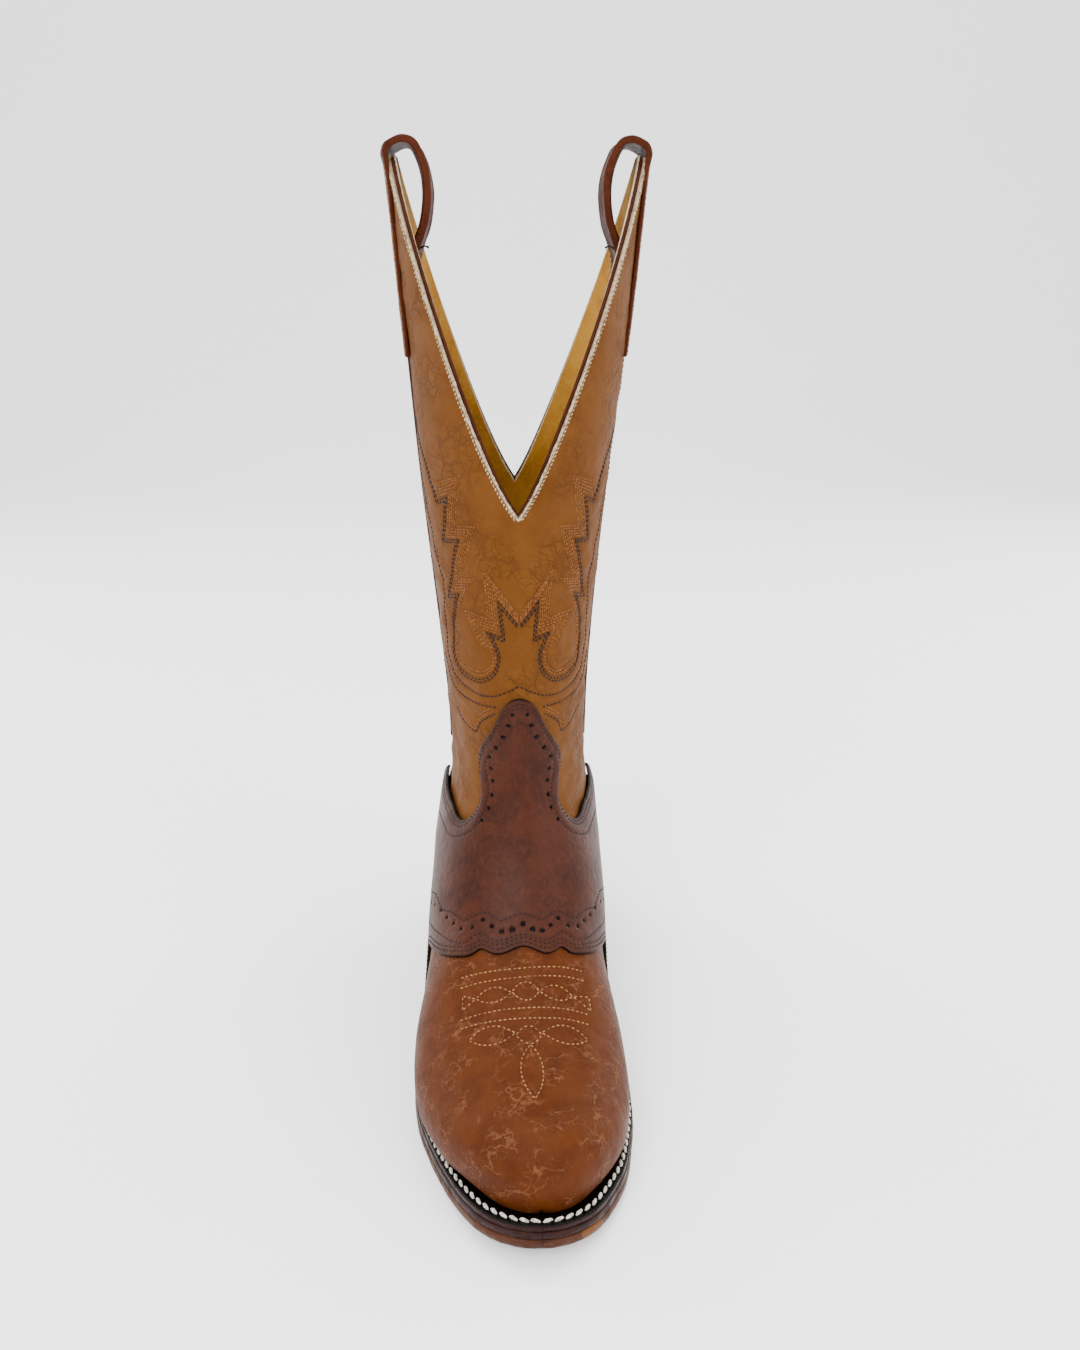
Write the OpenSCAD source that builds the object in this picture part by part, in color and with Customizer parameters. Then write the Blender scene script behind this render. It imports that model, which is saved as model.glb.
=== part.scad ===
// Western boot, right foot, with a tall saddle overlay and a deep V topline.
// Axes: +Z up, toe towards -Y, lateral side -X, medial side +X. Units are millimetres.
// The origin is on the floor, half way between the toe tip and the back of the heel.

/* [Shaft] */
// Height of the shaft at the sides, above the floor
shaft_h = 441; // [400:1:480]
// Height of the lowest point of the V, front and back
vee_h = 283; // [260:1:320]
// Thickness of the shaft leather
shaft_t = 1.8; // [1.4:0.1:2.2]
// Thickness of the lining leather
lining_t = 1.1; // [0.8:0.1:1.3]
// Forward lean allowed for where the shaft enters the foot, in degrees
flex_deg = 8; // [4:1:8]

/* [Foot] */
// Thickness of the vamp and counter leather
vamp_t = 1.8; // [1.5:0.1:1.8]
// Thickness of the saddle overlay
saddle_t = 1.8; // [1.4:0.1:2.2]
// How far the foot leathers stand off the shaft at the ankle
stand_off = 2.8; // [2.8:0.1:3.6]

/* [Sole] */
// Thickness of the outsole
outsole_t = 5; // [4:0.5:6]
// Thickness of the midsole
midsole_t = 4; // [3:0.5:5]
// Thickness of the welt
welt_t = 3; // [2.5:0.5:3.5]
// Width of the welt ledge round the toe
ledge_toe = 8.8; // [7.8:0.5:9.8]
// Width of the welt ledge beside the ball
ledge_ball = 4.8; // [3.8:0.5:6.8]
// Thickness of the rubber heel cap
cap_t = 6; // [5:0.5:7]
// Length of one welt stitch, centre to centre
stitch_pitch = 4.8; // [4:0.2:6]

/* [Pull straps] */
// Width of a pull strap
strap_w = 28; // [22:1:32]
// Thickness of a pull strap
strap_t = 3; // [2.4:0.2:3.4]

/* [Hidden] */

flex_z = 192;
flex_y = 62;
gap = 0.2;
vamp_in = 0.6;
layer_gap = 0.5;
sole_t = outsole_t + midsole_t + welt_t;
insole_t = 3;
lift_count = 4;
seat_z = 27;

tan_leather = "#a9764a";
gold_suede = "#b98f3c";
saddle_brown = "#5f3a28";
vamp_brown = "#87552f";
sole_brown = "#54302a";
light_sole = "#744a32";
strap_brown = "#7c4a38";
plum_thread = "#4c2a30";

// ---- The boot surface -------------------------------------------------------------------
// Each section runs over the boot from its ridge (front) to its far end: the sole's feather edge
// on the foot, the back seam on the heel and shaft. Columns: ridge y, z; end y, z; widest x
// lateral, medial; end x lateral, medial; ridge x; how far round the widest point lies; fullness
// of the upper and lower half; angle at which the lower half stops.
SECTIONS = [
    [-142.5, 20, -142.5, 20, 3.5, 3.5, 3.5, 3.5, 3.5, 0.55, 0.9, 0.9, 45],
    [-141.5, 33, -141.2, 19.5, -6.5, 12.5, -5, 11.5, 3.5, 0.62, 0.9, 0.9, 45],
    [-137, 43, -135.5, 18.5, -17, 23, -14.5, 20.5, 3, 0.66, 0.9, 0.9, 45],
    [-126, 49.5, -125, 17, -28.5, 33, -23.5, 28.5, 2.5, 0.68, 0.9, 0.9, 45],
    [-109, 52.5, -109, 14.5, -41, 42, -33.5, 37.5, 1.5, 0.7, 0.9, 0.9, 45],
    [-88, 56.5, -90, 13, -50, 46.5, -42.5, 43, 0.5, 0.7, 0.9, 0.9, 45],
    [-66, 65, -68, 12.8, -54.5, 47.5, -49, 46, -0.5, 0.68, 0.92, 0.92, 45],
    [-45, 79, -40, 13.8, -54, 45.5, -51, 44.5, -1, 0.66, 0.95, 0.95, 45],
    [-28, 94, 0, 21.2, -50, 42, -42, 31, -1.5, 0.64, 1, 1, 45],
    [-15, 110, 42, 35.5, -48, 41.5, -34.5, 26, -1.5, 0.6, 1, 1, 50],
    [-6, 127, 82, 40.9, -45.5, 40, -33.5, 30, -1.5, 0.55, 1, 1.05, 58],
    [-1, 141, 115, 42.2, -44, 39, -32, 29, -1.5, 0.52, 1, 1.1, 72],
    [1, 151, 146, 43, -42.5, 38.5, -1.5, -1.5, -1.5, 0.5, 1, 1.1, 90],
    [3, 163, 148, 66, -40.5, 37.5, -1.5, -1.5, -1.5, 0.5, 1, 1.05, 90],
    [4, 176, 143, 98, -39, 36, -1.5, -1.5, -1.5, 0.5, 1, 1, 90],
    [4, 190, 127, 138, -38.5, 35.5, -1.5, -1.5, -1.5, 0.5, 1, 1, 90],
    [4, 210, 115, 178, -40, 36, -1.5, -1.5, -1.5, 0.5, 1, 1, 90],
    [3, 250, 112, 240, -44.5, 39.5, -1.5, -1.5, -1.5, 0.5, 1, 1, 90],
    [2, 300, 113, 300, -49.5, 45, -1.5, -1.5, -1.5, 0.5, 1, 1, 90],
    [0, 370, 115, 370, -54.5, 53, -1, -1, -1, 0.5, 1, 1, 90],
    [-2, shaft_h, 117, shaft_h, -59.5, 59.5, 0, 0, 0, 0.5, 1, 1, 90]];
last_u = len(SECTIONS) - 1;
heel_u = 12;
// The toe carries on past its tip as a mirror image, so that it closes round.
BEFORE_TOE = [for (c = [0:12]) (c == 0 || c == 2 || c >= 9) ? SECTIONS[1][c]
    : 2 * SECTIONS[0][c] - SECTIONS[1][c]];

function lerp(a, b, f) = a + (b - a) * f;
function ramp(x, a, b) = let (f = max(0, min(1, (x - a) / (b - a)))) f * f * (3 - 2 * f);
function smooth(a, b, c, d, f) = 0.5 * (2 * b + (c - a) * f + (2 * a - 5 * b + 4 * c - d) * f * f
    + (3 * b - 3 * c + d - a) * f * f * f);
// A point part way along a list, counted in list steps, on a smooth curve through the list.
function along(list, x) = let (n = len(list) - 1, i = max(0, min(floor(x), n - 1)))
    smooth(list[max(i - 1, 0)], list[i], list[i + 1], list[min(i + 2, n)], x - i);
function section(u) = let (i = max(0, min(floor(u), last_u - 1)))
    smooth(i == 0 ? BEFORE_TOE : SECTIONS[i - 1], SECTIONS[i], SECTIONS[i + 1],
        i + 2 > last_u ? 2 * SECTIONS[last_u] - SECTIONS[last_u - 1] : SECTIONS[i + 2], u - i);

// A point of the surface: u counts sections from the toe up, t runs from -1 (lateral end) over
// 0 (ridge) to 1 (medial end), with the widest point at half way. The heel seat ends in an arc.
function surface_at(u, t) = let (
    s = section(u),
    a = abs(t),
    wide_x = t < 0 ? s[4] : s[5],
    turn = 90 * (u - heel_u + 1),
    seat = SECTIONS[heel_u - 1],
    at_heel = u > heel_u - 1 && u < heel_u,
    side_x = t < 0 ? [s[6], seat[6]] : [s[7], seat[7]],
    end_x = u >= heel_u ? s[8] : at_heel ? s[8] + (side_x[1] - s[8]) * cos(turn) : side_x[0],
    end_y = at_heel ? lerp(seat[2], SECTIONS[heel_u][2], sin(turn)) : s[2],
    stop = max(40, min(90, s[12])),
    up = 180 * min(a, 0.5),
    down = stop * max(0, 2 * a - 1),
    c_stop = pow(abs(cos(stop)), s[11]),
    x = a <= 0.5 ? s[8] + (wide_x - s[8]) * pow(sin(up), s[10])
        : end_x + (wide_x - end_x) * (pow(abs(cos(down)), s[11]) - c_stop) / (1 - c_stop),
    round_f = a <= 0.5 ? s[9] * (1 - pow(abs(cos(up)), s[10]))
        : s[9] + (1 - s[9]) * pow(sin(down) / sin(stop), s[11]))
    [x, lerp(s[0], end_y, round_f), lerp(s[1], s[3], round_f)];

// The section number at which the line t reaches the height z.
function u_at_z(t, z, low = 7, high = last_u, n = 16) = let (mid = (low + high) / 2)
    n == 0 ? mid : surface_at(mid, t)[2] < z ? u_at_z(t, z, mid, high, n - 1)
    : u_at_z(t, z, low, mid, n - 1);

// Below the ankle the shaft draws in, so that it can lean without touching the foot leathers.
function drawn_in(p) = let (
    g = max(0, min(1, (flex_z - p[2]) / 75)),
    back = max(0, min(1, (p[1] - 30) / 85)))
    [p[0] * (1 - 0.08 * g), p[1] - flex_deg * g * (1.3 + 0.6 * g) * back, p[2]];
function on_boot(uv, is_shaft) = is_shaft ? drawn_in(surface_at(uv[0], uv[1]))
    : surface_at(uv[0], uv[1]);

// How far the outer face of the vamp and counter stands off the surface at height z.
function foot_lift(z) = stand_off * ramp(z, 50, 110);
function unit(v) = v / max(norm(v), 1e-9);
// Outward normal of the surface at [u, t].
function boot_normal(q, is_shaft) = let (
    across = on_boot([q[0], min(q[1] + 0.004, 1)], is_shaft) - on_boot([q[0], max(q[1] - 0.004, -1)], is_shaft),
    up = on_boot([q[0] + 0.01, q[1]], is_shaft) - on_boot([max(q[0] - 0.01, 0), q[1]], is_shaft))
    unit(cross(across, up));
// Outward normal of a grid of points, for the heel, where the surface's own lines run together.
function grid_normal(P, i, j) = let (
    n = len(P) - 1,
    m = len(P[0]) - 1,
    along_u = P[min(i + 1, n)][j] - P[max(i - 1, 0)][j],
    along_t = P[i][min(j + 1, m)] - P[i][max(j - 1, 0)])
    unit(cross(along_t, along_u));

// ---- Shells that follow the surface ------------------------------------------------------
// GUIDES are lists of [u, |t|], from the lowest edge to the highest. The shell runs across them
// and mirrors over the ridge or the back seam. rows is the number of steps between guides.
function guide_point(GUIDES, v, s) = let (
    last = len(GUIDES) - 1,
    i = min(floor(v), last - 1),
    steps = len(GUIDES[0]) - 1,
    q = lerp(along(GUIDES[i], abs(s) * steps), along(GUIDES[i + 1], abs(s) * steps), v - i))
    [q[0], (s < 0 ? -1 : 1) * max(0, min(1, q[1]))];
function guide_grid(GUIDES, columns, rows) = [for (v = [0 : 1 / rows : len(GUIDES) - 1 + 1e-6])
    [for (j = [-columns : columns]) guide_point(GUIDES, v, j / columns)]];

// A grid that goes round the back has its columns in reverse, so that its outer face is outside.
function reversed(M) = [for (r = M) [for (j = [len(r) - 1 : -1 : 0]) r[j]]];

// A closed shell between two offsets from the surface. lifted shells follow the foot's stand-off.
// first and final choose the rows of the grid that the shell covers.
module shell(G, inner, outer, is_shaft = false, by_grid = false, first = 0, final = 999) {
    P = [for (r = G) [for (q = r) on_boot(q, is_shaft)]];
    n = len(P);
    m = len(P[0]);
    N = [for (i = [0 : n - 1]) [for (j = [0 : m - 1])
        by_grid ? grid_normal(P, i, j) : boot_normal(G[i][j], is_shaft)]];
    top = min(final, n - 1);
    sheets = [for (d = [outer, inner], i = [first : top], j = [0 : m - 1])
        P[i][j] + N[i][j] * (d + (is_shaft ? 0 : foot_lift(P[i][j][2])))];
    closed_sheet(sheets, top - first + 1, m);
}

// Two n by m sheets of points, front then back, joined round the rim.
module closed_sheet(points, n, m) {
    k = n * m;
    function id(i, j) = i * m + j;
    front = [for (i = [0 : n - 2], j = [0 : m - 2]) each [
        [id(i, j), id(i + 1, j), id(i + 1, j + 1)], [id(i, j), id(i + 1, j + 1), id(i, j + 1)]]];
    back = [for (f = front) [f[2] + k, f[1] + k, f[0] + k]];
    rim = concat([for (j = [0 : m - 2]) [id(0, j), id(0, j + 1)]],
        [for (i = [0 : n - 2]) [id(i, m - 1), id(i + 1, m - 1)]],
        [for (j = [m - 1 : -1 : 1]) [id(n - 1, j), id(n - 1, j - 1)]],
        [for (i = [n - 1 : -1 : 1]) [id(i, 0), id(i - 1, 0)]]);
    sides = [for (e = rim) each [[e[0], e[1], e[1] + k], [e[0], e[1] + k, e[0] + k]]];
    polyhedron(points, concat(front, back, sides), convexity = 6);
}

// A thread or cord of four-sided section along a list of points on the surface.
module thread(UV, radius, offset_mm, is_shaft = false) {
    P = [for (q = UV) on_boot(q, is_shaft)];
    N = [for (q = UV) boot_normal(q, is_shaft)];
    n = len(P);
    C = [for (i = [0 : n - 1]) P[i] + N[i] * (offset_mm + (is_shaft ? 0 : foot_lift(P[i][2])))];
    tube(C, N, radius);
}
module tube(C, N, radius) {
    n = len(C);
    ring = [for (i = [0 : n - 1]) let (
        side = unit(cross(N[i], C[min(i + 1, n - 1)] - C[max(i - 1, 0)])))
        each [C[i] + radius * N[i], C[i] + radius * side, C[i] - radius * N[i], C[i] - radius * side]];
    walls = [for (i = [0 : n - 2], k = [0 : 3]) let (a = 4 * i + k, b = 4 * i + (k + 1) % 4)
        each [[a, b, b + 4], [a, b + 4, a + 4]]];
    ends = [[3, 2, 1, 0], [for (k = [0 : 3]) 4 * (n - 1) + k]];
    polyhedron(ring, concat(walls, ends), convexity = 4);
}
// Smooth points along a list of [u, t], a number of steps for each span.
function fine(list, steps) = [for (x = [0 : 1 / steps : len(list) - 1 + 1e-6]) along(list, x)];

// ---- Outlines of the leathers, as [u, |t|] from the ridge to the sole -------------------
// Tongue, scoop beside it, quarter topline and down the back of the saddle.
SADDLE_TOP = [[15.35, 0], [15.05, 0.072], [14.4, 0.1], [13.95, 0.135], [13.5, 0.173],
    [12.8, 0.158], [11.8, 0.14], [11.1, 0.15], [10.75, 0.175], [10.6, 0.225], [11, 0.27],
    [11.9, 0.32], [12.5, 0.38], [13.05, 0.44], [13.35, 0.48], [13.5, 0.505], [13.6, 0.52]];
SADDLE_MID = [[11.4, 0], [11.4, 0.045], [11.4, 0.07], [11.4, 0.095], [11.5, 0.117],
    [11.3, 0.126], [10.8, 0.136], [10.2, 0.155], [9.9, 0.19], [9.7, 0.25], [9.7, 0.32],
    [9.8, 0.42], [10, 0.52], [10.2, 0.6], [10.5, 0.67], [10.9, 0.73], [11.3, 0.76]];
// Scalloped front edge, up to a cusp at the side, then down to the welt and back along it.
SADDLE_LOW = [[7.24, 0], [7.1, 0.04], [7.06, 0.07], [7.16, 0.1], [7.29, 0.123],
    [7.18, 0.15], [7.25, 0.19], [7.4, 0.24], [7.65, 0.3], [8, 0.37], [8.35, 0.44],
    [8, 0.52], [7.6, 0.64], [7.2, 0.8], [7, 0.94], [8.4, 0.94], [9.7, 0.94]];
// The vamp follows the saddle a little way inside its edge, then the side seam.
function tucked(list, du, kt) = [for (q = list) [q[0] - du, q[1] * kt]];
VAMP_TOP = concat(tucked([for (i = [0 : 14]) SADDLE_TOP[i]], 0.25, 0.98),
    [[12.6, 0.52], [11.7, 0.66], [10.6, 0.82], [9.4, 1]]);
VAMP_MID = concat([for (i = [0 : 14]) [min(SADDLE_MID[i][0], 11.2) - 0.3, SADDLE_MID[i][1] * 0.98]],
    [[10, 0.72], [9.4, 0.8], [8.6, 0.9], [7.4, 1]]);
VAMP_TOE = [for (i = [0 : 18]) [0.05, i / 18]];
// The counter, from the back seam to its front edge: just above the sole, then up to its top.
COUNTER_LOW = [[12.22, 1], [11.8, 0.91], [11.1, 0.935], [10.4, 0.945], [9.62, 0.95]];
COUNTER_TOP = [[15.05, 1], [14.9, 0.88], [14.5, 0.75], [14, 0.63], [13.25, 0.505]];
function between(A, B, f) = [for (i = [0 : len(A) - 1]) lerp(A[i], B[i], f)];

// Height of the lower edge of the shaft, hidden inside the foot.
function shaft_low_z(t) = 126 - 12 * ramp(abs(t), 0, 0.2) + 20 * ramp(abs(t), 0.5, 1);
// Height of the topline: a deep V front and back that sweeps up to the sides.
function top_z(t) = let (
    x = min(1, (abs(t) <= 0.5 ? abs(t) : 1 - abs(t)) / 0.465))
    lerp(vee_h, shaft_h, lerp(x, ramp(x, 0, 1), 0.45));
// Points down one column of the shaft, between two heights.
function shaft_column(t, z0, z1, rows) = [for (i = [0 : rows])
    [u_at_z(t, lerp(z0, z1, i / rows)), t]];
function transpose(M) = [for (i = [0 : len(M[0]) - 1]) [for (r = M) r[i]]];

// ---- Sole -------------------------------------------------------------------------------
// Height of the underside of the outsole: toe spring, flat tread, waist and heel seat.
SOLE_PROFILE = [[-160, 12], [-145, 8], [-128, 4.5], [-110, 2], [-90, 0.4], [-75, 0], [-60, 0],
    [-45, 0.4], [-20, 3], [0, 8.5], [20, 15.5], [40, 22], [62, seat_z], [90, 28.3], [120, 29.4], [160, 30.5]];
function bottom_z(y) = let (
    i = max([for (k = [0 : len(SOLE_PROFILE) - 2]) SOLE_PROFILE[k][0] <= y ? k : 0]),
    p = SOLE_PROFILE[i],
    q = SOLE_PROFILE[i + 1])
    lerp(p[1], q[1], (y - p[0]) / (q[0] - p[0]));
function ledge(y) = lerp(lerp(ledge_toe, ledge_ball, ramp(y, -145, -85)),
    lerp(2.5, 5, ramp(y, 55, 100)), ramp(y, -40, 30));
function feather(u, side) = let (p = surface_at(u, side)) [p[0], p[1]];
// Plan outline round the sole, grown out from the feather edge by part of the ledge plus extra.
function rim_point(u, side, part, extra) = let (
    p = feather(u, side),
    d = feather(min(u + 0.05, heel_u - 0.01), side) - feather(max(u - 0.05, 0.03), side),
    n = unit(side < 0 ? [-d[1], d[0]] : [d[1], -d[0]]))
    p + n * (ledge(p[1]) * part + extra);
sole_step = 0.25;
function plan(part, extra) = concat(
    [for (u = [0.1, each [0.25 : sole_step : heel_u - 0.2]]) rim_point(u, -1, part, extra)],
    [[-1.5, feather(heel_u, 1)[1] + ledge(140) * part + extra]],
    [for (u = [each [heel_u - 0.25 : -sole_step : 0.25], 0.1]) rim_point(u, 1, part, extra)]);

// A slice of the sole between two heights above the outsole's underside, from y0 to y1.
module sole_band(z0, z1, y0 = -155, y1 = 155) {
    ys = concat([y0], [for (p = SOLE_PROFILE) if (p[0] > y0 + 0.5 && p[0] < y1 - 0.5) p[0]], [y1]);
    rotate([90, 0, 90])
        linear_extrude(height = 200, center = true)
            polygon(concat([for (y = ys) [y, bottom_z(y) + z0]],
                [for (i = [len(ys) - 1 : -1 : 0]) [ys[i], bottom_z(ys[i]) + z1]]));
}
module layer(part, extra, z0, z1, y0 = -155, y1 = 155) {
    intersection() {
        linear_extrude(height = 90)
            polygon(plan(part, extra));
        sole_band(z0, z1, y0, y1);
    }
}
PEG_SPOTS = [for (side = [-1, 1], k = [0 : 5]) let (y = 2 + 10 * k)
    [side < 0 ? -30 + 0.15 * k * k : 20 - 0.1 * k, y]];
NAIL_SPOTS = [[-18, 85], [-22, 108], [-1.5, 128], [19, 108], [15, 85]];
module spots(list, d, z0, z1) {
    for (p = list)
        translate([p[0], p[1], z0])
            cylinder(d = d, h = z1 - z0, $fn = 24);
}

module outsole() {
    color(light_sole)
        difference() {
            layer(1, 0, 0, outsole_t);
            spots(PEG_SPOTS, 2.3, -1, 60);
            spots(NAIL_SPOTS, 2.7, -1, 60);
        }
}
module midsole() {
    color(sole_brown)
        difference() {
            layer(1, -0.3, outsole_t, outsole_t + midsole_t);
            spots(PEG_SPOTS, 2.3, -1, 60);
        }
}
// The welt is a strip that runs from the waist round the toe and back to the waist.
welt_end = 45;
module welt() {
    color("#1c1613")
        difference() {
            layer(1, -0.6, sole_t - welt_t, sole_t, -155, welt_end);
            linear_extrude(height = 90)
                polygon(plan(0, -5));
        }
}
module heel_rand() {
    color(sole_brown)
        difference() {
            layer(1, -0.8, sole_t - welt_t, sole_t, welt_end + 0.3, 155);
            linear_extrude(height = 90)
                polygon(plan(0, -5));
        }
}
// One stitch lies along the welt's rim, slanted a little and level with its top.
module welt_stitch(u, side) {
    p = rim_point(u, side, 0.45, 0);
    q = rim_point(u + 0.05, side, 0.45, 0);
    a = [p[0], p[1], bottom_z(p[1]) + sole_t + 0.7];
    d = [q[0], q[1], bottom_z(q[1]) + sole_t + 0.7] - a;
    translate(a)
        rotate([0, acos(d[2] / norm(d)), atan2(d[1], d[0]) + (side < 0 ? 14 : -14)])
            cylinder(d = 1.3, h = stitch_pitch - 1, center = true, $fn = 6);
}
function rim_length(u0, u1, side) = norm(rim_point(u1, side, 0.45, 0) - rim_point(u0, side, 0.45, 0));
// Section numbers one stitch apart along the rim, from u to the end of the welt.
function stitch_stops(u, side, run = 0) = u > 8.9 ? []
    : run >= stitch_pitch ? concat([u], stitch_stops(u + 0.02, side, 0))
    : stitch_stops(u + 0.02, side, run + rim_length(u, u + 0.02, side));
module welt_stitching() {
    color("#e8e2d6")
        for (side = [-1, 1])
            for (u = stitch_stops(0.12, side))
                welt_stitch(u, side);
}
module cork_filler() {
    color("#8a6a45")
        layer(0, -5.3, sole_t - welt_t + 0.05, sole_t - 0.05, -150, -22);
}
module shank() {
    color("#8f9499")
        intersection() {
            translate([-10, -16, 0])
                cube([14, 118, 80]);
            sole_band(sole_t - welt_t + 0.4, sole_t - 0.4);
        }
}
module insole() {
    color("#b08a60")
        layer(0, -6.5, sole_t + 0.05, sole_t + insole_t);
}
module sock_liner() {
    color("#b98f3c")
        layer(0, -8, sole_t + insole_t + 0.05, sole_t + insole_t + 1.2, 20, 155);
}
module waist_pegs() {
    color("#d8bd8a")
        for (p = PEG_SPOTS)
            translate([p[0], p[1], bottom_z(p[1] - 1.2) + 0.6])
                cylinder(d = 2, h = bottom_z(p[1] - 1) - bottom_z(p[1] - 1.2) + outsole_t + midsole_t - 1,
                    $fn = 24);
}

// The heel: four leather lifts on a rubber cap, each a little larger than the one below it.
heel_front = 62;
module heel_slab(z0, z1, inset) {
    intersection() {
        translate([0, 0, z0])
            linear_extrude(height = z1 - z0)
                polygon(plan(1, -inset));
        translate([-60, heel_front + inset * 0.6, -1])
            cube([120, 120, 80]);
    }
}
lift_t = (seat_z - cap_t) / lift_count;
module heel_lift(k) {
    z0 = cap_t + (k - 1) * lift_t;
    inset = 0.4 + 0.45 * (lift_count - k);
    color(k % 2 == 0 ? sole_brown : "#5f3a2c")
        difference() {
            heel_slab(z0, k == lift_count ? 45 : z0 + lift_t, inset);
            if (k == lift_count)
                sole_band(0, 60);
            spots(NAIL_SPOTS, 2.7, -1, 60);
        }
}
module heel_lift_1() { heel_lift(1); }
module heel_lift_2() { heel_lift(2); }
module heel_lift_3() { heel_lift(3); }
module heel_lift_4() { heel_lift(4); }
module heel_cap() {
    color("#2a2622")
        difference() {
            heel_slab(0, cap_t, 0.4 + 0.45 * lift_count);
            spots(NAIL_SPOTS, 2.7, 1.5, 60);
        }
}
module heel_nails() {
    color("#9a958c")
        spots(NAIL_SPOTS, 2.4, 1.6, seat_z + 4);
}

// ---- Foot leathers ----------------------------------------------------------------------
module vamp() {
    color(vamp_brown)
        shell(guide_grid([VAMP_TOE, between(VAMP_TOE, VAMP_MID, 0.5), VAMP_MID, VAMP_TOP], 21, 8),
            -vamp_in - vamp_t, -vamp_in);
}
box_out = vamp_in + vamp_t + 0.5;
module toe_box() {
    color("#c8b48c")
        shell([for (i = [0 : 8]) [for (j = [-12 : 12]) [lerp(0.5, 4.6, i / 8), j / 12 * 0.94]]],
            -box_out - 1, -box_out);
}
module vamp_lining() {
    color("#c9a97c")
        shell([for (i = [0 : 12]) [for (j = [-12 : 12]) let (t = j / 12 * 0.97)
            [lerp(0.5, 9.6 - 1.1 * ramp(abs(t), 0.1, 0.45) + 0.4 * ramp(abs(t), 0.7, 1), i / 12), t]]],
            -box_out - 1.4 - lining_t, -box_out - 1.4);
}
module saddle_overlay() {
    color(saddle_brown)
        shell(guide_grid([SADDLE_LOW, SADDLE_MID, SADDLE_TOP], 30, 6), gap, gap + saddle_t);
}
COUNTER_GRID = reversed(guide_grid([COUNTER_LOW, COUNTER_TOP], 18, 12));
counter_out = vamp_in + vamp_t + layer_gap;
module counter_cover() {
    color(saddle_brown)
        shell(COUNTER_GRID, -vamp_in - vamp_t, -vamp_in, by_grid = true);
}
module counter_stiffener() {
    color("#b39a78")
        shell(COUNTER_GRID, -counter_out - 1.2, -counter_out, by_grid = true, first = 3, final = 8);
}
module heel_lining() {
    color(gold_suede)
        shell(COUNTER_GRID, -counter_out - 1.2 - layer_gap - lining_t, -counter_out - 1.2 - layer_gap,
            by_grid = true, first = 3, final = 9);
}

// ---- Decorative stitching on the foot ---------------------------------------------------
stitch_r = 0.4;
module foot_stitch(list, steps, level) {
    thread(fine(list, steps), stitch_r, level + stitch_r + 0.3);
}
// The toe bug: arcs, a row of pointed lenses, more arcs and lenses, and a lozenge at the tip.
BUG_ARCS = [[6.83, 6.77, 6.9], [6.63, 6.6, 6.72], [5.99, 6.01, 6.06], [5.81, 5.8, 5.86]];
module lens(u, t0, t1, swell) {
    foot_stitch([[u, t0], [u + swell, (t0 + t1) / 2], [u, t1]], 2, 0);
    foot_stitch([[u, t0], [u - swell, (t0 + t1) / 2], [u, t1]], 2, 0);
}
module toe_bug_stitching() {
    color("#c39a63") {
        for (a = BUG_ARCS)
            foot_stitch([[a[0], -0.19], [a[1], 0], [a[2], 0.2]], 3, 0);
        for (c = [[-0.13, -0.035], [-0.03, 0.035], [0.04, 0.14]])
            lens(6.32, c[0], c[1], 0.16);
        for (c = [[-0.165, -0.03], [0.03, 0.185]])
            lens(5.55, c[0], c[1], 0.25);
        for (side = [-1, 1])
            foot_stitch([[5.14, 0.001], [4.62, side * 0.024], [3.92, 0.001]], 4, 0);
    }
}
module saddle_stitching() {
    color(strap_brown) {
        for (side = [-1, 1]) {
            top_row = [for (q = tucked(SADDLE_TOP, 0.16, 0.96)) [q[0], side * max(q[1], 0.003)]];
            low_row = [for (i = [0 : 13]) let (q = SADDLE_LOW[i])
                [q[0] + 0.12, side * max(q[1], 0.003)]];
            foot_stitch(top_row, 2, gap + saddle_t);
            foot_stitch(low_row, 2, gap + saddle_t);
        }
    }
}
module counter_stitching() {
    color(strap_brown)
        for (side = [-1, 1])
            foot_stitch([for (i = [0 : 3]) let (q = COUNTER_TOP[i]) [q[0] - 0.15, side * min(q[1], 0.985)]],
                3, 0);
}

// ---- Shaft ------------------------------------------------------------------------------
seam = 0.5;
// Columns across the front or the back, between the side seams, with a hair's gap at each seam.
function shaft_grid(is_front, low_add, top_drop, columns, rows) = transpose(
    [for (j = [-columns : columns]) let (
        s = j / columns * 0.994,
        t = is_front ? s * seam : (s < 0 ? -1 : 1) * (1 - (1 - seam) * abs(s)))
        shaft_column(t, shaft_low_z(t) + low_add, top_z(t) - top_drop, rows)]);
module front_panel() {
    color(tan_leather)
        shell(shaft_grid(true, 0, 0, 11, 15), -0.6 - shaft_t, -0.6, true);
}
module back_panel() {
    color(tan_leather)
        shell(reversed(shaft_grid(false, 0, 0, 11, 13)), -0.6 - shaft_t, -0.6, true);
}
lining_out = 0.6 + shaft_t + layer_gap;
module front_lining() {
    color(gold_suede)
        shell(shaft_grid(true, 3, 1, 11, 15), -lining_out - lining_t, -lining_out, true);
}
module back_lining() {
    color(gold_suede)
        shell(reversed(shaft_grid(false, 3, 1, 11, 15)), -lining_out - lining_t, -lining_out, true);
}
// A cord folded into each side seam.
module side_piping(side) {
    color(strap_brown)
        thread([for (i = [0 : 16]) [u_at_z(side * seam, lerp(shaft_low_z(seam) + 14, 350, i / 16)), side * seam]],
            1.1, 0.55, true);
}
module side_piping_lateral() { side_piping(-1); }
module side_piping_medial() { side_piping(1); }

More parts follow.
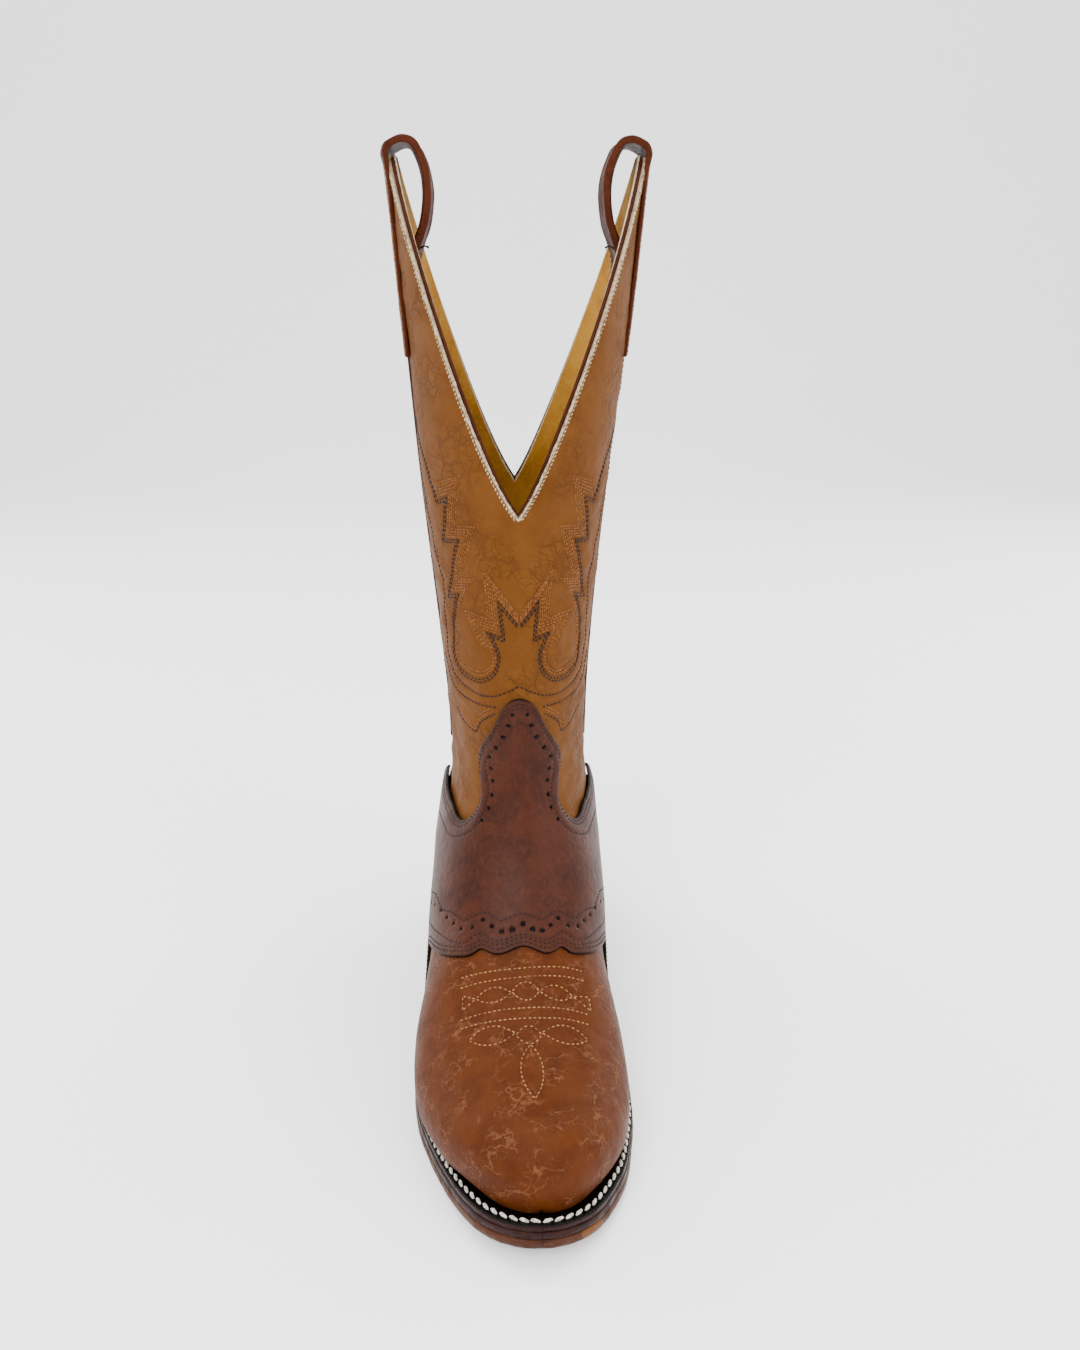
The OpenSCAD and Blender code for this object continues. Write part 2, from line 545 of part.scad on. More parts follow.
// A folded leather bead caps the raw edges of panel and lining along the topline.
bead_r = 1.2;
module top_bead(is_front) {
    color("#6e3d24")
        thread([for (j = [-16 : 16]) let (
            s = j / 16 * 0.8,
            steep = (top_z(abs(s) * seam + 0.01) - top_z(abs(s) * seam)) / 1.5,
            t = is_front ? s * seam : (s < 0 ? -1 : 1) * (1 - seam * abs(s)))
            [u_at_z(t, top_z(t) + 1.6 * sqrt(1 + steep * steep)), t]], bead_r, -1.6, true);
}
module front_top_bead() { top_bead(true); }
module back_top_bead() { top_bead(false); }

// A pull strap: up the outside, over the edge in a loop that bulges inward, down the lining.
// Points are distance in from the shaft's outer face, and height below the shaft's top.
STRAP_PATH = [[-2, -88], [-2, -70], [-2, -45], [-2, -20], [-2, -5], [-1.9, 0.5], [0.4, 3.8],
    [6, 5.8], [11.5, 3.5], [15, -5], [15.5, -16], [13, -28], [8.5, -38], [6.2, -46], [5.9, -56],
    [5.9, -66]];
function strap_point(side, s, w) = let (
    q = along(STRAP_PATH, s),
    z = shaft_h + q[1],
    face = surface_at(u_at_z(side * seam, min(z, shaft_h - 0.1)), side * seam))
    [face[0] - side * (0.6 + q[0] + w * w / 112), face[1] + w, z];
module pull_strap(side) {
    n = 30;
    ws = [for (k = [-3 : 3]) side * k / 3 * strap_w / 2];
    P = [for (i = [0 : n]) [for (w = ws) strap_point(side, (len(STRAP_PATH) - 1) * i / n, w)]];
    sheets = [for (d = [strap_t / 2, -strap_t / 2], i = [0 : n], j = [0 : len(ws) - 1])
        P[i][j] + grid_normal(P, i, j) * d];
    color(strap_brown)
        closed_sheet(sheets, n + 1, len(ws));
}
module pull_strap_lateral() { pull_strap(-1); }
module pull_strap_medial() { pull_strap(1); }
module strap_stitching() {
    color("#b98a5a")
        for (side = [-1, 1])
            for (w = [-1, 1]) {
                C = [for (i = [0 : 8]) strap_point(side, lerp(0.15, 3.2, i / 8), w * (strap_w / 2 - 3))
                    + [side * (strap_t / 2 + stitch_r + 0.05), 0, 0]];
                tube(C, [for (c = C) [side, 0, 0]], stitch_r);
            }
}

// The stitched ornament of the shaft, as [u, |t|] from the top of the flank down to the M.
ORNAMENT = [[18.3, 0.42], [17.65, 0.31], [17.62, 0.25], [17.0, 0.27], [17.0, 0.2], [16.35, 0.24],
    [16.3, 0.2], [15.95, 0.22], [15.6, 0.19], [15.5, 0.13], [15.7, 0.085], [16.0, 0.09],
    [16.15, 0.12], [16.12, 0.075], [16.45, 0.08], [16.2, 0]];
OUTER_SWEEP = [[16.6, 0.33], [16.1, 0.3], [15.7, 0.24], [15.45, 0.15], [15.42, 0.06], [15.6, 0]];
module shaft_stitching(is_front) {
    color(plum_thread)
        for (side = [-1, 1], list = [ORNAMENT, OUTER_SWEEP]) {
            row = [for (q = list) [q[0], side * (is_front ? max(q[1], 0.004) : 1 - max(q[1], 0.008))]];
            thread(fine(row, 2), stitch_r, stitch_r - 0.3, true);
        }
}
module front_shaft_stitching() { shaft_stitching(true); }
module back_shaft_stitching() { shaft_stitching(false); }

outsole();
midsole();
welt();
heel_rand();
welt_stitching();
cork_filler();
shank();
insole();
sock_liner();
waist_pegs();
heel_lift_1();
heel_lift_2();
heel_lift_3();
heel_lift_4();
heel_cap();
heel_nails();
vamp();
toe_box();
vamp_lining();
saddle_overlay();
counter_cover();
counter_stiffener();
heel_lining();
toe_bug_stitching();
saddle_stitching();
counter_stitching();
front_panel();
back_panel();
front_lining();
back_lining();
side_piping_lateral();
side_piping_medial();
front_top_bead();
back_top_bead();
pull_strap_lateral();
pull_strap_medial();
front_shaft_stitching();
back_shaft_stitching();
strap_stitching();
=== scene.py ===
# The visual model of the western boot: leathers, stitching and sole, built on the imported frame.
# Shapes are worked out in millimetres on one boot surface and written as metres.
import math

import bpy
import numpy as np
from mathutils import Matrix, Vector, kdtree, noise


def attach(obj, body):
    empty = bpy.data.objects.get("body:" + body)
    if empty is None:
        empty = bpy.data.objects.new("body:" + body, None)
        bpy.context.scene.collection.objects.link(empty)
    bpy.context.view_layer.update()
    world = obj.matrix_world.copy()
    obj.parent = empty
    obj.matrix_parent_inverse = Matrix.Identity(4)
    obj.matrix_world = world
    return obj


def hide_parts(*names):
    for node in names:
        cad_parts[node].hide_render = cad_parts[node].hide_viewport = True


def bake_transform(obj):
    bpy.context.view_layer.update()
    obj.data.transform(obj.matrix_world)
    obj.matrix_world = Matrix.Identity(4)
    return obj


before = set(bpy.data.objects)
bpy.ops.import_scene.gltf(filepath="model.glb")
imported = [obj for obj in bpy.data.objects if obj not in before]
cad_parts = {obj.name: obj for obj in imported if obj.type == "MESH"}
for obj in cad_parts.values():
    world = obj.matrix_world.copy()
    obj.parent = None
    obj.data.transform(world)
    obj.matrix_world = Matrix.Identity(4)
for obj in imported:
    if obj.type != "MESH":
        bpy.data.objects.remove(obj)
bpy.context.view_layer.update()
MM = 0.001

# ---- The boot surface ---------------------------------------------------------------------
# Sections as in the CAD: ridge y, z; end y, z; widest x lateral, medial; end x lateral, medial;
# ridge x; how far round the widest point lies; fullness of both halves; angle where it stops.
SHAFT_H, VEE_H = 441, 283
SECTIONS = np.array([
    [-142.5, 20, -142.5, 20, 3.5, 3.5, 3.5, 3.5, 3.5, 0.55, 0.9, 0.9, 45],
    [-141.5, 33, -141.2, 19.5, -6.5, 12.5, -5, 11.5, 3.5, 0.62, 0.9, 0.9, 45],
    [-137, 43, -135.5, 18.5, -17, 23, -14.5, 20.5, 3, 0.66, 0.9, 0.9, 45],
    [-126, 49.5, -125, 17, -28.5, 33, -23.5, 28.5, 2.5, 0.68, 0.9, 0.9, 45],
    [-109, 52.5, -109, 14.5, -41, 42, -33.5, 37.5, 1.5, 0.7, 0.9, 0.9, 45],
    [-88, 56.5, -90, 13, -50, 46.5, -42.5, 43, 0.5, 0.7, 0.9, 0.9, 45],
    [-66, 65, -68, 12.8, -54.5, 47.5, -49, 46, -0.5, 0.68, 0.92, 0.92, 45],
    [-45, 79, -40, 13.8, -54, 45.5, -51, 44.5, -1, 0.66, 0.95, 0.95, 45],
    [-28, 94, 0, 21.2, -50, 42, -42, 31, -1.5, 0.64, 1, 1, 45],
    [-15, 110, 42, 35.5, -48, 41.5, -34.5, 26, -1.5, 0.6, 1, 1, 50],
    [-6, 127, 82, 40.9, -45.5, 40, -33.5, 30, -1.5, 0.55, 1, 1.05, 58],
    [-1, 141, 115, 42.2, -44, 39, -32, 29, -1.5, 0.52, 1, 1.1, 72],
    [1, 151, 146, 43, -42.5, 38.5, -1.5, -1.5, -1.5, 0.5, 1, 1.1, 90],
    [3, 163, 148, 66, -40.5, 37.5, -1.5, -1.5, -1.5, 0.5, 1, 1.05, 90],
    [4, 176, 143, 98, -39, 36, -1.5, -1.5, -1.5, 0.5, 1, 1, 90],
    [4, 190, 127, 138, -38.5, 35.5, -1.5, -1.5, -1.5, 0.5, 1, 1, 90],
    [4, 210, 115, 178, -40, 36, -1.5, -1.5, -1.5, 0.5, 1, 1, 90],
    [3, 250, 112, 240, -44.5, 39.5, -1.5, -1.5, -1.5, 0.5, 1, 1, 90],
    [2, 300, 113, 300, -49.5, 45, -1.5, -1.5, -1.5, 0.5, 1, 1, 90],
    [0, 370, 115, 370, -54.5, 53, -1, -1, -1, 0.5, 1, 1, 90],
    [-2, SHAFT_H, 117, SHAFT_H, -59.5, 59.5, 0, 0, 0, 0.5, 1, 1, 90]], float)
LAST = len(SECTIONS) - 1
first = SECTIONS[1].copy()
for column in (1, 3, 4, 5, 6, 7, 8):
    first[column] = 2 * SECTIONS[0, column] - SECTIONS[1, column]
PADDED = np.vstack([first, SECTIONS, 2 * SECTIONS[-1] - SECTIONS[-2]])


def ramp(x, a, b):
    f = np.clip((np.asarray(x, float) - a) / (b - a), 0, 1)
    return f * f * (3 - 2 * f)


def mix(a, b, f):
    return a + (b - a) * f


def catmull(a, b, c, d, f):
    square, cube = 2 * a - 5 * b + 4 * c - d, 3 * b - 3 * c + d - a
    return 0.5 * (2 * b + (c - a) * f + square * f * f + cube * f ** 3)


def along(points, x):
    """Smooth points part way along a list, counted in list steps."""
    P = np.asarray(points, float)
    n = len(P) - 1
    x = np.clip(np.asarray(x, float), 0, n)
    i = np.minimum(np.floor(x).astype(int), n - 1)
    f = (x - i)[..., None]
    return catmull(P[np.maximum(i - 1, 0)], P[i], P[i + 1], P[np.minimum(i + 2, n)], f)


def section(u):
    u = np.clip(u, 0, LAST)
    i = np.minimum(np.floor(u).astype(int), LAST - 1)
    f = (u - i)[..., None]
    return catmull(PADDED[i], PADDED[i + 1], PADDED[i + 2], PADDED[i + 3], f)


def surface(u, t):
    """Points of the boot: u counts sections from the toe up, t runs from -1 over the ridge (0) to 1."""
    u, t = np.broadcast_arrays(np.asarray(u, float), np.asarray(t, float))
    s, a = section(u), np.minimum(np.abs(t), 1)
    left = t < 0
    wide = np.where(left, s[..., 4], s[..., 5])
    at_heel = (u > 11) & (u < 12)
    turn = np.clip(u - 11, 0, 1) * math.pi / 2
    seat = np.where(left, SECTIONS[11, 6], SECTIONS[11, 7])
    end_x = np.where(u >= 12, s[..., 8], np.where(left, s[..., 6], s[..., 7]))
    end_x = np.where(at_heel, SECTIONS[12, 8] + (seat - SECTIONS[12, 8]) * np.cos(turn), end_x)
    end_y = np.where(at_heel, mix(SECTIONS[11, 2], SECTIONS[12, 2], np.sin(turn)), s[..., 2])
    stop = np.radians(np.clip(s[..., 12], 40, 90))
    up = np.clip(a / 0.5, 0, 1) * math.pi / 2
    down = np.clip((a - 0.5) / 0.5, 0, 1) * stop
    c_stop = np.abs(np.cos(stop)) ** s[..., 11]
    upper_x = s[..., 8] + (wide - s[..., 8]) * np.sin(up) ** s[..., 10]
    lower_x = end_x + (wide - end_x) * (np.abs(np.cos(down)) ** s[..., 11] - c_stop) / (1 - c_stop)
    upper = s[..., 9] * (1 - np.abs(np.cos(up)) ** s[..., 10])
    lower = s[..., 9] + (1 - s[..., 9]) * (np.sin(down) / np.sin(stop)) ** s[..., 11]
    high = a <= 0.5
    round_f = np.where(high, upper, lower)
    return np.stack([np.where(high, upper_x, lower_x), mix(s[..., 0], end_y, round_f),
                     mix(s[..., 1], s[..., 3], round_f)], -1)


def unit(v):
    return v / (np.linalg.norm(v, axis=-1, keepdims=True) + 1e-12)


def normals(u, t):
    """Outward normals of the boot surface."""
    u, t = np.broadcast_arrays(np.asarray(u, float), np.asarray(t, float))
    rise = surface(np.minimum(u + 0.01, LAST), t) - surface(np.maximum(u - 0.01, 0), t)
    across = surface(u, np.minimum(t + 0.004, 1)) - surface(u, np.maximum(t - 0.004, -1))
    return unit(np.cross(across, rise))


def u_at_z(t, z, low=7.0):
    """The section at which the line t reaches the height z."""
    t, z = np.broadcast_arrays(np.asarray(t, float), np.asarray(z, float))
    a, b = np.full(t.shape, low), np.full(t.shape, float(LAST))
    for _ in range(22):
        m = (a + b) / 2
        below = surface(m, t)[..., 2] < z
        a, b = np.where(below, m, a), np.where(below, b, m)
    return (a + b) / 2


def foot_lift(z):
    return 2.8 * ramp(z, 50, 110)


def close_lift(z):
    """The stand-off of the visible leathers, which lie closer to the shaft near the top."""
    return foot_lift(z) * (1 - 0.6 * ramp(z, 125, 155))


def shaft_low_z(t):
    return 126 - 12 * ramp(np.abs(t), 0, 0.2) + 20 * ramp(np.abs(t), 0.5, 1)


def top_z(t):
    a = np.abs(t)
    x = np.minimum(1, np.where(a <= 0.5, a, 1 - a) / 0.465)
    return mix(VEE_H, SHAFT_H, mix(x, ramp(x, 0, 1), 0.45))


# ---- Outlines of the leathers, [u, |t|], as in the CAD --------------------------------------
SADDLE_TOP = [[15.35, 0], [15.05, 0.072], [14.4, 0.1], [13.95, 0.135], [13.5, 0.173], [12.8, 0.158],
              [11.8, 0.14], [11.1, 0.15], [10.75, 0.175], [10.6, 0.225], [11, 0.27], [11.9, 0.32],
              [12.5, 0.38], [13.05, 0.44], [13.35, 0.48], [13.5, 0.505], [13.6, 0.52]]
SADDLE_MID = [[11.4, 0], [11.4, 0.045], [11.4, 0.07], [11.4, 0.095], [11.5, 0.117], [11.3, 0.126],
              [10.8, 0.136], [10.2, 0.155], [9.9, 0.19], [9.7, 0.25], [9.7, 0.32], [9.8, 0.42],
              [10, 0.52], [10.2, 0.6], [10.5, 0.67], [10.9, 0.73], [11.3, 0.76]]
SADDLE_LOW = [[7.24, 0], [7.1, 0.04], [7.06, 0.07], [7.16, 0.1], [7.29, 0.123], [7.18, 0.15],
              [7.25, 0.19], [7.4, 0.24], [7.65, 0.3], [8, 0.37], [8.35, 0.44], [8, 0.52],
              [7.6, 0.64], [7.2, 0.8], [7, 0.985], [8.4, 0.985], [9.7, 0.985]]


def tucked(points, du, kt):
    return [[q[0] - du, q[1] * kt] for q in points]


VAMP_TOP = tucked(SADDLE_TOP[:15], 0.25, 0.98) + [[12.6, 0.52], [11.7, 0.66], [10.6, 0.82], [9.4, 1]]
VAMP_MID = [[min(q[0], 11.2) - 0.3, q[1] * 0.98] for q in SADDLE_MID[:15]] + [
    [10, 0.72], [9.4, 0.8], [8.6, 0.9], [7.4, 1]]
VAMP_TOE = [[0.05, i / 18] for i in range(19)]
VAMP_BALL = [[(a[0] + b[0]) / 2, (a[1] + b[1]) / 2] for a, b in zip(VAMP_TOE, VAMP_MID)]
COUNTER_LOW = [[12.06, 1], [11.68, 0.96], [11.02, 0.98], [10.32, 0.985], [9.56, 0.985]]
COUNTER_TOP = [[15.05, 1], [14.9, 0.88], [14.5, 0.75], [14, 0.63], [13.25, 0.505]]


def ticks(n, fine=(0.1, 0.25, 0.5)):
    """n steps from 0 to 1, with finer steps at both ends for a rounded edge."""
    f = [k / n for k in fine]
    return np.array([0] + f + [i / n for i in range(1, n)] + [1 - k for k in reversed(f)] + [1])


def guide_grid(guides, rows, columns, soft=0):
    """A grid of (u, t) across the guides, mirrored over the ridge or the back seam.
    soft rounds the outlines over that many columns."""
    v = ticks(rows) * (len(guides) - 1)
    s = ticks(2 * columns) * 2 - 1
    lines = np.array([along(g, np.abs(s) * (len(g) - 1)) for g in guides])
    sign = np.where(s < 0, -1, 1)
    lines[..., 1] *= sign
    if soft:
        for _ in range(2):
            wide = np.pad(lines, ((0, 0), (soft, soft), (0, 0)), mode="edge")
            mean = sum(wide[:, k:k + lines.shape[1]] for k in range(2 * soft + 1)) / (2 * soft + 1)
            keep = np.clip((1 - np.abs(s)) * len(s) / 2 / soft, 0, 1)[None, :, None]
            lines = mix(lines, mean, keep)
    i = np.minimum(np.floor(v).astype(int), len(guides) - 2)
    f = (v - i)[:, None, None]
    q = lines[i] * (1 - f) + lines[i + 1] * f
    return q[..., 0], np.clip(q[..., 1], -1, 1)


def shaft_grid(front, low_add, top_drop, columns, rows):
    s = (ticks(2 * columns) * 2 - 1) * 0.996
    t = s * 0.5 if front else np.where(s < 0, -1, 1) * (1 - 0.5 * np.abs(s))
    v = ticks(rows)[:, None]
    T = np.broadcast_to(t, (len(v), len(t)))
    return u_at_z(T, mix(shaft_low_z(T) + low_add, top_z(T) - top_drop, v)), T


# ---- Gentle unevenness of real leather ------------------------------------------------------
def waves(P, scale, seed, octaves=2):
    """Smooth noise at points in mm; scale is the size of its bumps in mm."""
    k = 1 / scale
    flat = P.reshape(-1, 3)
    out = np.zeros(len(flat))
    for o in range(octaves):
        f, amount = k * 2 ** o, 0.5 ** o
        out += amount * np.array([noise.noise((x * f + seed, y * f, z * f)) for x, y, z in flat.tolist()])
    return out.reshape(P.shape[:-1])


def shaft_folds(P):
    """Soft dents of the shaft, deepest just above the ankle."""
    low = ramp(P[..., 2], 330, 190)
    return 0.9 * waves(P * [1, 1, 0.55], 42, 3.1, 1) + (0.4 + 0.5 * low) * waves(P * [1, 1, 1.6], 15, 7.7, 2)


def vamp_folds(P):
    return 0.35 * waves(P, 22, 11.3, 2) + 0.12 * waves(P, 5, 5.2, 1)


def saddle_folds(P):
    tongue = ramp(P[..., 2], 135, 165)
    return 0.2 * waves(P, 20, 2.4, 1) + 0.35 * tongue * waves(P, 5, 9.1, 2)


# ---- Meshes ---------------------------------------------------------------------------------
def mesh_object(name, verts, faces, attributes=(), smooth=True):
    me = bpy.data.meshes.new(name)
    me.from_pydata((np.asarray(verts) * MM).tolist(), [], faces)
    me.validate()
    me.polygons.foreach_set("use_smooth", np.full(len(me.polygons), smooth))
    for key, values in dict(attributes).items():
        me.attributes.new(key, "FLOAT", "POINT").data.foreach_set("value", np.asarray(values, np.float32))
    rest = me.attributes.new("rest", "FLOAT_VECTOR", "POINT")
    rest.data.foreach_set("vector", (np.asarray(verts, np.float32) * MM).ravel())
    me.update()
    obj = bpy.data.objects.new(name, me)
    bpy.context.collection.objects.link(obj)
    return obj


def place(obj, how, material, slot, *replaced):
    obj.data.materials.append(material)
    if how == "bend":
        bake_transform(obj)
    else:
        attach(obj, how)
    if replaced:
        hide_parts(*replaced)
    return obj


def rim_distance(P):
    """Distance of each grid point from the four edges of the grid: low, high, left, right."""
    dv = np.linalg.norm(np.diff(P, axis=0), axis=-1)
    ds = np.linalg.norm(np.diff(P, axis=1), axis=-1)
    v = np.vstack([np.zeros((1, P.shape[1])), np.cumsum(dv, 0)])
    s = np.hstack([np.zeros((P.shape[0], 1)), np.cumsum(ds, 1)])
    return v, v[-1] - v, s, s[:, -1:] - s


def rounding(distance, radius):
    """How far a rounded edge drops at a distance from the rim."""
    return radius - np.sqrt(np.maximum(0, radius * radius - np.maximum(0, radius - distance) ** 2))


def run_length(P):
    """Length along a line of points, from its start to each point."""
    return np.concatenate([[0], np.cumsum(np.linalg.norm(np.diff(P, axis=0), axis=-1))])


def at_length(P, run, x):
    return np.stack([np.interp(x, run, P[:, k]) for k in range(3)], -1)


def headings(P, run, x):
    """Directions of a line of points at the lengths x."""
    return unit(at_length(P, run, x + 0.4) - at_length(P, run, x - 0.4))


def ring_quads(rings, sides):
    """Faces between closed rings of points that follow each other."""
    i, j = np.meshgrid(np.arange(rings - 1), np.arange(sides), indexing="ij")
    after = (j + 1) % sides
    quads = [i * sides + j, i * sides + after, (i + 1) * sides + after, (i + 1) * sides + j]
    return np.stack(quads, -1).reshape(-1, 4)


def shell(outer, inner, N, i, j):
    """A closed sheet between two grids of points. N at grid point i, j tells which way is out."""
    n, m = outer.shape[:2]
    idx = np.arange(n * m).reshape(n, m)
    quads = np.stack([idx[:-1, :-1], idx[:-1, 1:], idx[1:, 1:], idx[1:, :-1]], -1).reshape(-1, 4)
    loop = np.concatenate([idx[0, :-1], idx[:-1, -1], idx[-1, :0:-1], idx[:0:-1, 0]])
    after = np.roll(loop, -1)
    k = n * m
    here = outer[i, j]
    if np.dot(np.cross(outer[i, j + 1] - here, outer[i + 1, j] - here), N[i, j]) < 0:
        quads = quads[:, ::-1]
        walls = np.stack([loop, after, after + k, loop + k], -1)
    else:
        walls = np.stack([after, loop, loop + k, after + k], -1)
    verts = np.vstack([outer.reshape(-1, 3), inner.reshape(-1, 3)])
    return verts, np.vstack([quads, quads[:, ::-1] + k, walls]).tolist()


class Tree:
    """Finds the nearest of a set of points, in mm."""

    def __init__(self, points):
        self.points = np.asarray(points, float).reshape(-1, 3)
        self.tree = kdtree.KDTree(len(self.points))
        for i, p in enumerate(self.points.tolist()):
            self.tree.insert(p, i)
        self.tree.balance()

    def distance(self, Q):
        flat = Q.reshape(-1, 3).tolist()
        return np.array([self.tree.find(q)[2] for q in flat]).reshape(Q.shape[:-1])


# A punched hole: how deep its well is, and how wide the ring of points drawn in to its rim.
HOLE_DEPTH, HOLE_RING = 1.45, 0.75


class Sheet:
    """A leather with thickness over a (u, t) grid. outer and inner are offsets in mm from the surface.
    seams are points pressed in by thread, holes are [u, t, radius], raw names the cut edges."""

    def __init__(self, name, grid, outer, inner, folds=None, seams=None, depth=0.25, turn=0.8,
                 raw="", lifted=False, ease=0.0, seam_width=1.6, holes=()):
        U, T = grid
        P, N = surface(U, T), normals(U, T)
        hole = np.zeros(U.shape)
        if len(holes):
            spots = np.array(holes)
            centres = surface(spots[:, 0], spots[:, 1])
            for c, r in zip(centres, spots[:, 2]):
                away = P - c
                d = np.linalg.norm(away, axis=-1)
                rim, inside = (d >= r) & (d < r + HOLE_RING), d < r
                P[rim] = c + away[rim] * (r / d[rim])[:, None]
                P[inside] = c + away[inside] * 0.85
                hole[inside] = 1
        low, high, left, right = rim_distance(P)
        edge = np.minimum(np.minimum(low, high), np.minimum(left, right))
        up = np.full(U.shape, float(outer))
        down = np.full(U.shape, float(inner))
        if lifted:
            lift = close_lift(P[..., 2]) * (1 - ease * np.exp(-high / 4.0))
            up, down = up + lift, down + lift
        bump = folds(P) if folds else np.zeros(U.shape)
        groove = np.zeros(U.shape)
        if seams is not None and len(seams):
            groove = np.exp(-(Tree(seams).distance(P) / seam_width) ** 2)
        drop = rounding(edge, turn)
        fade = ramp(edge, 0, 1.5)
        top = up + bump * fade + bump * 0.6 * (1 - fade) - depth * groove - drop - HOLE_DEPTH * hole
        base = down + bump * 0.6
        self.base, self.top, self.normals = P, top, N
        n, m = U.shape
        verts, faces = shell(P + N * top[..., None], P + N * base[..., None], N, n // 2, m // 2)
        chosen = {"low": low, "high": high, "left": left, "right": right}
        raw_d = np.min([chosen[w] for w in raw.split()], axis=0) if raw else np.full(U.shape, 99.0)
        self.object = mesh_object(name, verts, faces, {
            "edge": np.concatenate([edge.ravel(), edge.ravel() * 0]) * MM,
            "groove": np.concatenate([groove.ravel(), groove.ravel() * 0]),
            "hole": np.concatenate([hole.ravel(), hole.ravel() * 0]),
            "raw": np.concatenate([raw_d.ravel(), raw_d.ravel()]) * MM})
        self.tree = None

    def height(self, Q):
        """Offset of the outer face near base points Q, from the closest grid points."""
        if self.tree is None:
            self.tree = Tree(self.base)
            self.flat = self.top.ravel()
        out = []
        for q in Q.reshape(-1, 3).tolist():
            near = self.tree.tree.find_n(q, 4)
            w = [1 / (d + 0.05) for _, _, d in near]
            out.append(sum(self.flat[i] * k for (_, i, _), k in zip(near, w)) / sum(w))
        return np.array(out).reshape(Q.shape[:-1])


# ---- Stitches -------------------------------------------------------------------------------
def fine(points, steps=6, sharp=False):
    P = np.asarray(points, float)
    x = np.linspace(0, len(P) - 1, (len(P) - 1) * steps + 1)
    if not sharp:
        return along(P, x)
    i = np.minimum(np.floor(x).astype(int), len(P) - 2)
    return mix(P[i], P[i + 1], (x - i)[:, None])


def cut_row(uv, pitch):
    """Evenly spaced stitch middles along a (u, t) line, with their directions, on the base surface."""
    P = surface(uv[:, 0], uv[:, 1])
    run = run_length(P)
    count = max(1, int(run[-1] / pitch))
    mids = (np.arange(count) + 0.5) * run[-1] / count
    U, T = np.interp(mids, run, uv[:, 0]), np.interp(mids, run, uv[:, 1])
    return surface(U, T), headings(P, run, mids), normals(U, T)


def stitch_mesh(C, D, N, length, radius, sides=5, twist=0.0, sink=0.7, slant=0.0):
    """Plump little threads whose ends dip into the leather."""
    S = unit(np.cross(D, N))
    if slant:
        D = unit(D + S * slant)
        S = unit(np.cross(D, N))
    stops = np.array([-1, -0.8, -0.35, 0.35, 0.8, 1]) if not twist else np.linspace(-1, 1, 9)
    size = np.sqrt(np.maximum(0, 1 - np.abs(stops) ** 3)) * 0.85 + 0.15
    dip = -sink * radius * np.abs(stops) ** 3
    ang = np.arange(sides) * 2 * math.pi / sides
    k, r, n = len(C), len(stops), sides
    rad = size[:, None] * (1 + (0.14 * np.cos(2 * (ang[None] - stops[:, None] * twist)) if twist else 0))
    ring = (D[:, None, None] * (stops * length / 2)[None, :, None, None]
            + S[:, None, None] * (np.cos(ang)[None] * rad)[None, :, :, None] * radius
            + N[:, None, None] * ((np.sin(ang)[None] * rad * 0.9 * radius) + dip[:, None])[None, :, :, None])
    verts = (C[:, None, None] + ring).reshape(-1, 3)
    start = (np.arange(k) * r * n)[:, None, None]
    faces = (ring_quads(r, n)[None] + start).reshape(-1, 4).tolist()
    caps = np.stack([np.arange(n)[::-1], (r - 1) * n + np.arange(n)])
    faces += (caps[None] + start).reshape(-1, n).tolist()
    return verts, faces


def sew(name, rows, sheet, pitch, radius, how, material, slot, *replaced, fill=0.86, lift=0.15, **kw):
    """One object of many stitches, along rows of (u, t) points on a leather."""
    parts = [cut_row(r, pitch) for r in rows]
    C, D, N = (np.concatenate([p[i] for p in parts]) for i in range(3))
    C = C + N * (sheet.height(C) + radius * lift)[:, None]
    verts, faces = stitch_mesh(C, D, N, pitch * fill, radius, **kw)
    obj = mesh_object(name, verts, faces)
    return place(obj, how, material, slot, *replaced)


def both(points, steps=6, sharp=False, least=0.0):
    """A row of [u, |t|] on both sides of the ridge."""
    P = fine(points, steps, sharp)
    return [np.stack([P[:, 0], s * np.maximum(P[:, 1], least)], -1) for s in (-1, 1)]


def inset_rows(guides, rows, columns, distance, from_top, span=(0, 1), soft=3):
    """Rows parallel to a leather's upper or lower edge, distance mm inside it, on both sides."""
    U, T = guide_grid(guides, rows, columns, soft)
    P = surface(U, T)
    low, high, _, _ = rim_distance(P)
    D = high if from_top else low
    m = U.shape[1]
    out = []
    for side in (-1, 1):
        cols = [j for j in range(m) if side * (j - (m - 1) / 2) >= 0
                and span[0] <= abs(j - (m - 1) / 2) / ((m - 1) / 2) <= span[1]]
        line = []
        for j in cols:
            order = np.argsort(D[:, j])
            line.append([np.interp(distance, D[order, j], grid[order, j]) for grid in (U, T)])
        out.append(np.array(line))
    return out


def base_points(rows, step=0.8):
    """Dense surface points along rows, for the dents that stitching makes."""
    return np.concatenate([cut_row(r, step)[0] for r in rows]) if rows else np.zeros((0, 3))


def tube(points, up, radius, sides, squash=1.0):
    """A closed tube along points in mm."""
    P = np.asarray(points, float)
    D = unit(np.gradient(P, axis=0))
    S = unit(np.cross(D, up))
    V = unit(np.cross(S, D))
    ang = np.arange(sides) * 2 * math.pi / sides
    rad = np.broadcast_to(np.asarray(radius, float), (len(P),))[:, None, None]
    across, over = np.cos(ang)[None, :, None], np.sin(ang)[None, :, None]
    verts = P[:, None] + rad * (S[:, None] * across + squash * V[:, None] * over)
    k, n = len(P), sides
    faces = ring_quads(k, n).tolist()
    faces += [list(range(n))[::-1], [(k - 1) * n + q for q in range(n)]]
    return verts.reshape(-1, 3), faces


def join(parts):
    verts, faces, base = [], [], 0
    for v, f in parts:
        verts.append(v)
        faces += [[i + base for i in face] for face in f]
        base += len(v)
    return np.concatenate(verts), faces


